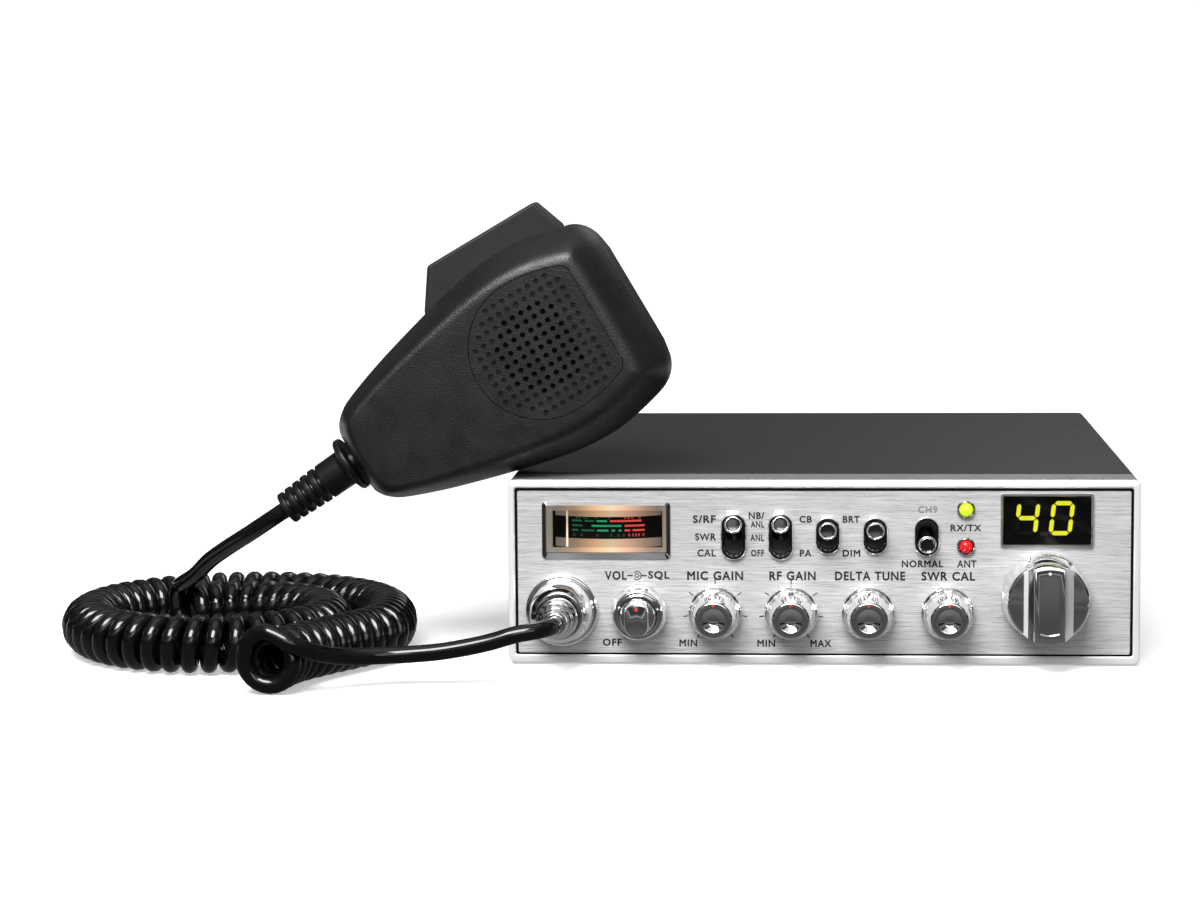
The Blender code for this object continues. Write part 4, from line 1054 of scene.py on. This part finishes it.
LABELS = [  # words, x, z, width, cap height, ink
    ("VOL", -61.2, 26.6, 6.6, 2.75, "ink"), ("SQL", -48.4, 26.6, 6.4, 2.75, "ink"),
    ("MIC GAIN", -31.7, 26.6, 16.6, 2.75, "ink"), ("RF GAIN", -8.8, 26.6, 13.7, 2.75, "ink"),
    ("DELTA TUNE", 14.1, 26.6, 20.7, 2.75, "ink"), ("SWR CAL", 37.1, 26.6, 15.8, 2.75, "ink"),
    ("OFF", -62.4, 6.5, 5.7, 2.2, "ink"), ("MIN", -39.75, 6.4, 5.3, 2.2, "ink"),
    ("MIN", -16.6, 6.4, 5.3, 2.2, "ink"), ("MAX", -0.4, 6.4, 6.2, 2.2, "ink"),
    ("RX/TX", 42.2, 41.0, 9.0, 2.1, "ink"), ("ANT", 42.5, 30.3, 5.7, 2.2, "ink"),
    ("NORMAL", 29.5, 30.3, 12.2, 2.2, "ink"), ("CH9", 31.0, 46.4, 5.7, 2.2, "pale_ink"),
    ("S/RF", -34.85, 43.5, 6.8, 2.4, "ink"), ("SWR", -34.5, 38.2, 6.2, 2.2, "ink"),
    ("CAL", -34.2, 33.4, 5.5, 2.2, "ink"), ("NB/", -19.4, 44.6, 4.6, 2.1, "ink"),
    ("ANL", -19.1, 42.0, 4.0, 2.0, "ink"), ("ANL", -19.2, 38.0, 4.1, 2.1, "ink"),
    ("OFF", -19.1, 33.4, 3.9, 2.0, "ink"), ("CB", -4.9, 43.5, 3.7, 2.1, "ink"),
    ("PA", -4.9, 33.4, 3.5, 2.1, "ink"), ("BRT", 8.55, 43.5, 5.0, 2.1, "ink"),
    ("DIM", 8.6, 33.4, 5.2, 2.1, "ink"),
]


def text_mesh(words, width, height):
    """Flat bold letters of a given width and cap height, centred on the origin."""
    curve = bpy.data.curves.new("label", "FONT")
    curve.body, curve.size, curve.space_character, curve.resolution_u = words, 10.0, 1.15, 3
    bm = filled(curve, 0.0005)
    embolden(bm, 0.36)
    low, high = (Vector([pick(v.co[i] for v in bm.verts) for i in range(3)]) for pick in (min, max))
    bmesh.ops.translate(bm, vec=-(low + high) / 2, verts=bm.verts)
    bmesh.ops.scale(bm, vec=(width / (high.x - low.x), height / (high.y - low.y), 1), verts=bm.verts)
    return bm


def embolden(bm, amount):
    """Move the outlines of flat letters outwards."""
    pushes = {}
    for edge in bm.edges:
        if len(edge.link_faces) != 1:
            continue
        a, b = edge.verts
        out = (b.co - a.co).cross(Vector((0, 0, 1))).normalized()
        if out.dot(edge.link_faces[0].calc_center_median() - a.co) > 0:
            out = -out
        for vertex in (a, b):
            pushes.setdefault(vertex, []).append(out)
    for vertex, outs in pushes.items():
        way = sum(outs, Vector())
        if way.length > 0.2:
            way.normalize()
            vertex.co += way * amount * min(1.3, 1 / max(0.5, way.dot(outs[0])))


def make_labels():
    """All the printing, in two inks, as thin raised letters and lines on the panel."""
    sheet = bpy.data.meshes.new("sheet")
    for ink in ("ink", "pale_ink"):
        whole = bmesh.new()
        for words, x, z, width, height, tone in LABELS:
            if tone != ink:
                continue
            bm = text_mesh(words, width, height)
            bmesh.ops.translate(bm, vec=(x, z, 0), verts=bm.verts)
            bm.to_mesh(sheet)
            bm.free()
            whole.from_mesh(sheet)
        if ink == "ink":
            add_ticks(whole)
        for vertex in whole.verts:
            vertex.co.z = 0.03
        made = bmesh.ops.extrude_face_region(whole, geom=whole.faces[:])["geom"]
        lower = [part for part in made if isinstance(part, bmesh.types.BMVert)]
        bmesh.ops.translate(whole, vec=(0, 0, -0.05), verts=lower)
        piece(f"panel_print_{ink}", whole, ink, where=on_panel(0, 0))
    bpy.data.meshes.remove(sheet)


def add_ticks(bm):
    """Lines round the two gain knobs, and the mark between the words for the two-part control."""

    def face(points):
        bm.faces.new([bm.verts.new(p) for p in points])

    mid = Vector((-54.9, 26.6, 0))
    for left, right in ((-2.9, -1.2), (1.2, 2.9)):
        face([mid + Vector((x, y, 0)) for x, y in ((left, -0.2), (right, -0.2), (right, 0.2), (left, 0.2))])
    for radius, half in ((1.25, 0.75), (0.55, 1.0)):
        angles = [pi * half * (i / 7 - 1) for i in range(15)]
        rows = [[bm.verts.new(mid + Vector((r * cos(a), r * sin(a), 0))) for a in angles]
                for r in (radius - 0.15, radius + 0.15)]
        for k in range(14):
            bm.faces.new((rows[0][k], rows[0][k + 1], rows[1][k + 1], rows[1][k]))
    for knob_name in ("mic_gain_knob", "rf_gain_knob"):
        mid = Vector((middle(knob_name).x, middle(knob_name).z, 0))
        for degrees in (0, 54, -54, 100, -100, 146, -146):
            a = radians(90 - degrees)
            along = Vector((cos(a), sin(a), 0))
            across = Vector((-along.y, along.x, 0)) * 0.16
            start, end = mid + along * 8.1, mid + along * 9.6
            face((start - across, end - across, end + across, start + across))


# ---- Microphone ----

MIC_HALF_OUTLINE = [(2.8, 8.6), (4.2, 12.0), (7.0, 15.0), (11.6, 17.5), (24.6, 22.0), (42.3, 26.9),
                    (55.0, 29.9), (66.4, 31.7), (78.6, 31.6), (92.0, 28.7), (96.8, 26.3), (99.6, 22.2),
                    (100.8, 16.0)]
# The shells' levels: (height above the parting line, inset)
FRONT_LEVELS = [(0.15, 0.02), (0.5, 0.0), (3.0, 0.0), (6.5, 0.09), (10.0, 0.31), (12.8, 0.52), (14.7, 0.68),
                (16.1, 0.82), (17.1, 0.97), (17.7, 1.14), (17.94, 1.3), (18.0, 1.46)]
REAR_LEVELS = [(0.15, 0.02), (0.5, 0.0), (8.0, 0.0), (11.0, 0.05), (13.6, 0.2), (15.8, 0.45), (17.2, 0.72),
               (17.85, 0.92), (18.0, 1.1)]
GRILLE_RADIUS = 21.3
GRILLE_MID = (69.9, 1.4)
GRILLE_END = 90.4
GRILLE_LONG = 32.0
DEEP_RADIUS = 13.4
HOLE_PITCH = 2.9
HOLE_RADIUS = 0.84


def mic_outline(inset):
    half = smooth_line([(u, v, 0) for u, v in MIC_HALF_OUTLINE], 1.5)
    loop = [Vector((p.x, -p.y)) for p in half] + [Vector((p.x, p.y)) for p in reversed(half)]
    moved, keep = [], []
    for i, p in enumerate(loop):
        along = (loop[(i + 1) % len(loop)] - loop[i - 1]).normalized()
        depth = (3.2 + 0.05 * p.x) * inset
        at = Vector((p.x - along.y * depth, p.y + along.x * depth))
        moved.append(at)
        keep.append(all((at - q).length > 0.97 * depth - 0.05 for q in loop))
    points = unfold(moved, keep)
    for _ in range(round(10 * inset)):
        points = [(points[i - 1] + 2 * q + points[(i + 1) % len(points)]) / 4 for i, q in enumerate(points)]
    return [tuple(q) for q in points]


def unfold(points, keep):
    """Replace the folded stretches of a closed line by straight ones between the points that are kept."""
    count = len(points)
    out = list(points)
    for i in range(count):
        if keep[i]:
            continue
        back = next(k for k in range(1, count) if keep[(i - k) % count])
        ahead = next(k for k in range(1, count) if keep[(i + k) % count])
        out[i] = points[(i - back) % count].lerp(points[(i + ahead) % count], back / (back + ahead))
    return out


def grille_outline(grow=0.0):
    """A half circle that runs on as a long half ellipse, cut off square with round corners at the head."""
    u0, v0 = GRILLE_MID
    radius, long = GRILLE_RADIUS + grow, GRILLE_LONG + grow
    end, corner = GRILLE_END + grow, 3.4
    back = [(u0 + radius * cos(a), v0 + radius * sin(a))
            for a in (radians(90 + 180 * i / 44) for i in range(45))]
    last = asin((end - corner - u0) / long)
    side = [(u0 + long * sin(a), v0 - radius * cos(a)) for a in (last * i / 12 for i in range(1, 13))]
    slope = atan(radius * tan(last) / long)
    hub = (side[-1][0] - corner * sin(slope), side[-1][1] + corner * cos(slope))
    turn = [(hub[0] + corner * sin(a), hub[1] - corner * cos(a))
            for a in (slope + (pi / 2 - slope) * i / 8 for i in range(1, 9))]
    low = side + turn
    return back + low + [(u, 2 * v0 - v) for u, v in reversed(low)]


def inside(point, outline):
    """True if a point is inside a closed outline."""
    x, y = point
    hit = False
    for (x0, y0), (x1, y1) in zip(outline, outline[1:] + outline[:1]):
        if (y0 > y) != (y1 > y) and x < (x1 - x0) * (y - y0) / (y1 - y0) + x0:
            hit = not hit
    return hit


def make_grille():
    """The perforated plate, set into the front shell with a hairline gap round it."""
    keep = grille_outline(-1.9)
    curve = bpy.data.curves.new("grille", "CURVE")
    curve.dimensions, curve.fill_mode, curve.extrude = "2D", "BOTH", 0.3
    loops = [grille_outline(-0.15)]
    u0, v0 = GRILLE_MID
    for i in range(-8, 9):
        for j in range(-8, 9):
            u, v = u0 + 0.4 + i * HOLE_PITCH, v0 + j * HOLE_PITCH
            if inside((u, v), keep):
                loops.append([(u + HOLE_RADIUS * cos(a), v + HOLE_RADIUS * sin(a))
                              for a in (2 * pi * k / 12 for k in range(12))])
    for loop in loops:
        spline = curve.splines.new("POLY")
        spline.points.add(len(loop) - 1)
        for point, (u, v) in zip(spline.points, loop):
            point.co = (u, v, 0, 1)
        spline.use_cyclic_u = True
    piece("mic_grille_plate", filled(curve, 0.001), "mic", "microphone", where=MIC @ move((0, 0, 17.55)),
          smooth=30)
    rim = grille_outline(-0.2)
    ring = [(u0 + DEEP_RADIUS * cos(a), v0 + DEEP_RADIUS * sin(a))
            for a in (atan2(v - v0, u - u0) for u, v in rim)]
    bm = loft([level(rim, 16.8), level(rim, 17.3), level(ring, 17.3), level(ring, 16.8)], closed=True)
    piece("mic_grille_ledge", bm, "boot", "microphone", where=MIC)
    bm = loft([level(grille_outline(0.5), z) for z in (15.5, 16.2)])
    piece("mic_grille_felt", bm, "mesh", "microphone", where=MIC)


def shell_mesh(levels, side):
    """A bowl with an outer and an inner skin, joined round its rim."""
    hollow = [(0.15, 0.5), (9.0, 0.5), (13.0, 0.75), (15.3, 1.1)]
    return loft([level(mic_outline(inset), side * w) for w, inset in [*reversed(levels), *hollow]])


def make_mic_shells():
    """The two halves of the case, cut out for the grille, for the key and for the cord."""
    opening, rebate = (loft([level(grille_outline(grow), z) for z in (12.0, top)])
                       for grow, top in ((0.05, 22.0), (0.9, 16.7)))
    notch = bmesh.new()
    slab(notch, (41.2, 19.0, -15.4), (93.0, 45.0, 2.0))
    for half, levels, side, tools in (("front", FRONT_LEVELS, 1, [opening, rebate]),
                                      ("rear", REAR_LEVELS, -1, [notch])):
        shell = piece(f"mic_{half}_case", shell_mesh(levels, side), "mic", "microphone", f"mic_{half}_shell",
                      where=MIC, smooth=40)
        tools.append(lathe([(0, 6), (4.7, 6), (4.7, -9), (0, -9)], 32, turn=OUT_OF_MIC))
        for bm in tools:
            bm.transform(Matrix.Scale(MM, 4) @ MIC)
            bmesh.ops.recalc_face_normals(bm, faces=bm.faces)
            cut(shell, scene_object("cutter", bm))
        shell.data.shade_smooth()
        shell.data.set_sharp_from_angle(angle=radians(40))


def make_key():
    outline = [(43.0, 20.0), (91.8, 20.0), (91.8, 29.5), (88.4, 39.3), (51.2, 39.3), (43.0, 27.5)]
    bm = loft([level(outline, z) for z in (-14.8, -0.6)])
    key = piece("mic_talk_key", bm, "key", "ptt_key", "mic_ptt_key", where=MIC)
    bevelled(key, 0.9, 4)


def make_boot():
    """The ribbed strain relief with its collar."""
    ribs, first, last = 5, 9.2, 23.6
    pitch = (last - first) / ribs
    profile = [(0, last), (3.1, last)]
    for i in range(ribs):
        top, radius = last - i * pitch, 5.05 + 0.15 * i
        profile += [(radius - 0.12, top), (radius, top - 0.12), (radius, top - pitch + 1.25),
                    (radius - 0.12, top - pitch + 1.13), (3.4, top - pitch + 1.1), (3.4, top - pitch + 0.05)]
    profile += [(5.5, first), (5.65, first - 0.2), (5.75, 2.0), (6.2, 0.9), (8.1, 0.6), (8.65, 0.1),
                (8.65, -1.2), (8.2, -1.7), (4.2, -1.7), (4.2, -5.2), (5.4, -5.4), (5.4, -6.5), (0, -6.5)]
    piece("mic_cord_relief", lathe(soften(profile, 0.16, 2), 56), "boot", "microphone", "mic_cord_boot",
          where=move(MIC_ORIGIN) @ spin(-BOOT_TILT, "Y") @ OUT_OF_MIC, smooth=38)


def mic_back(u, v):
    """A frame on the microphone's back: +z out of it."""
    return MIC @ move((u, v, -MIC_DEPTH)) @ spin(180, "X")


def make_hang_button():
    profile = soften([(0, 8.6), (7.4, 8.6), (8.6, 7.9), (8.6, 6.6), (7.6, 5.6), (4.2, 4.6), (4.2, 0.3),
                      (0, 0.3)], 0.5, 4)
    piece("mic_hanger", lathe(profile, 64), "chrome", "microphone", "mic_hang_button",
          where=mic_back(58, 0))


# ---- Fasteners and the rear ----


def screw_mesh(radius, height):
    """A pan head with a cross recess."""
    profile = [(0, height), (radius * 0.55, height * 0.96), (radius * 0.9, height * 0.6), (radius, 0.1),
               (radius, -0.3), (0, -0.3)]
    head = scene_object("screw_head", lathe(soften(profile, 0.2), 32))
    cross = bmesh.new()
    long, thick = radius * 0.6, radius * 0.13
    for turn in (0, 90):
        bar = slab(cross, (-long, -thick, height * 0.35), (long, thick, height + 1))
        bmesh.ops.rotate(cross, matrix=Matrix.Rotation(radians(turn), 3, "Z"), verts=bar)
    cut(head, scene_object("screw_cross", cross), use_self=True)
    mesh = head.data
    bpy.data.objects.remove(head, do_unlink=True)
    return mesh


def make_screws():
    """Screws on the case's sides, on its rear and on the microphone's back, one piece for each group."""
    case = [move((way * COVER_HIGH.x, y, z)) @ spin(way * 90, "Y")
            for y in (-76.0, 92.0) for z in (14.0, 42.0) for way in (-1, 1)]
    rear = [on_rear(x, z) for x, z in ((-88.0, 48.5), (88.0, 8.0), (88.0, 48.5), (27.0, 44.0))]
    mic = [mic_back(u, v) for u, v in ((14.0, 0.0), (84.0, -18.0), (84.0, 14.0))]
    for group, spots, radius, height, material, body in (
            ("case", case, 2.6, 1.1, "steel", "root"), ("rear", rear, 2.4, 1.1, "steel", "root"),
            ("mic", mic, 2.2, 0.7, "dark_chrome", "microphone")):
        head = screw_mesh(radius, height)
        bm = bmesh.new()
        for spot in spots:
            before = len(bm.verts)
            bm.from_mesh(head)
            bm.verts.ensure_lookup_table()
            bmesh.ops.transform(bm, matrix=spot, verts=bm.verts[before:])
        piece(f"{group}_screws", bm, material, body)


def make_rear():
    """The antenna socket with its thread, the nuts of two jacks, and the power inlet's pins."""
    mid = middle("antenna_socket")
    thread = []
    for i in range(12):
        z = 14.2 - i * 0.95
        thread += [(7.9, z), (7.45, z - 0.47)]
    profile = [(0, 6.0), (1.6, 6.0), (1.9, 6.2), (1.9, 13.4), (2.3, 13.6), (3.6, 13.6), (3.6, 13.0),
               (5.2, 13.0), (5.4, 15.0), (7.2, 15.0), *thread, (7.6, 2.5), (12.2, 2.4), (12.5, 2.1),
               (12.5, 0.3), (5.9, 0.3), (5.9, -8.0), (0, -8.0)]
    turned("antenna_connector", profile, 64, "root", "antenna_socket", on_rear(mid.x, mid.z))
    profile = soften([(1.75, 2.6), (2.6, 2.6), (2.9, 2.2), (4.4, 2.2), (4.9, 1.8), (5.0, 0.35), (3.0, 0.3),
                      (3.0, -10.0), (1.75, -10.0)], 0.15)
    for name in ("external_speaker_jack", "pa_speaker_jack"):
        mid = middle(name)
        piece(f"{name}_nut", lathe(profile, 48, closed=True), "steel", "root", name,
              where=on_rear(mid.x, mid.z))
    mid = middle("power_inlet")
    pin = soften([(0, 3.6), (0.7, 3.4), (1.0, 2.9), (1.0, -4.4), (0, -4.4)], 0.2)
    bm = bmesh.new()
    for dx in (-5.2, 0.0, 5.2):
        lathe(pin, 20, turn=on_rear(mid.x + dx, mid.z, 1.4), bm=bm)
    piece("power_inlet_pins", bm, "brass")


STAYING = {  # CAD nodes that keep their shape, and their finish
    # chassis_frame is repainted near black so that the gap round the panel shows as shade rather than bright
    # zinc steel.
    "bottom_cover": "cover", "chassis_frame": "chassis", "front_panel": "panel", "meter_case": "black",
    "heat_sink": "anodised", "power_inlet": "black", "main_circuit_board": "board", "speaker_basket": "steel",
    "speaker_cone": "paper", "channel_display": "dial", "toggle_switch_block": "black",
    "mic_cartridge": "steel", "mic_key_switch": "black", "ptt_pivot_pin": "steel",
    "channel_selector_switch": "steel", "volume_squelch_pot": "steel", "mic_gain_pot": "steel",
    "rf_gain_pot": "steel", "delta_tune_pot": "steel", "swr_cal_pot": "steel",
}

make_camera()
M = make_materials()
make_plug()
length = make_cord()
print(f"cord length {length / 1000:.3f} m")
make_studio()
make_cover()
make_bezel()
make_gap_shade_strip()
make_small_knobs()
make_concentric_knobs()
make_channel_knob()
make_toggles()
make_lamps()
make_display()
make_meter()
make_dial()
make_labels()
make_mic_shells()
make_grille()
make_key()
make_boot()
make_hang_button()
make_screws()
make_rear()
for staying_node, finish_name in STAYING.items():
    repaint(staying_node, finish_name)
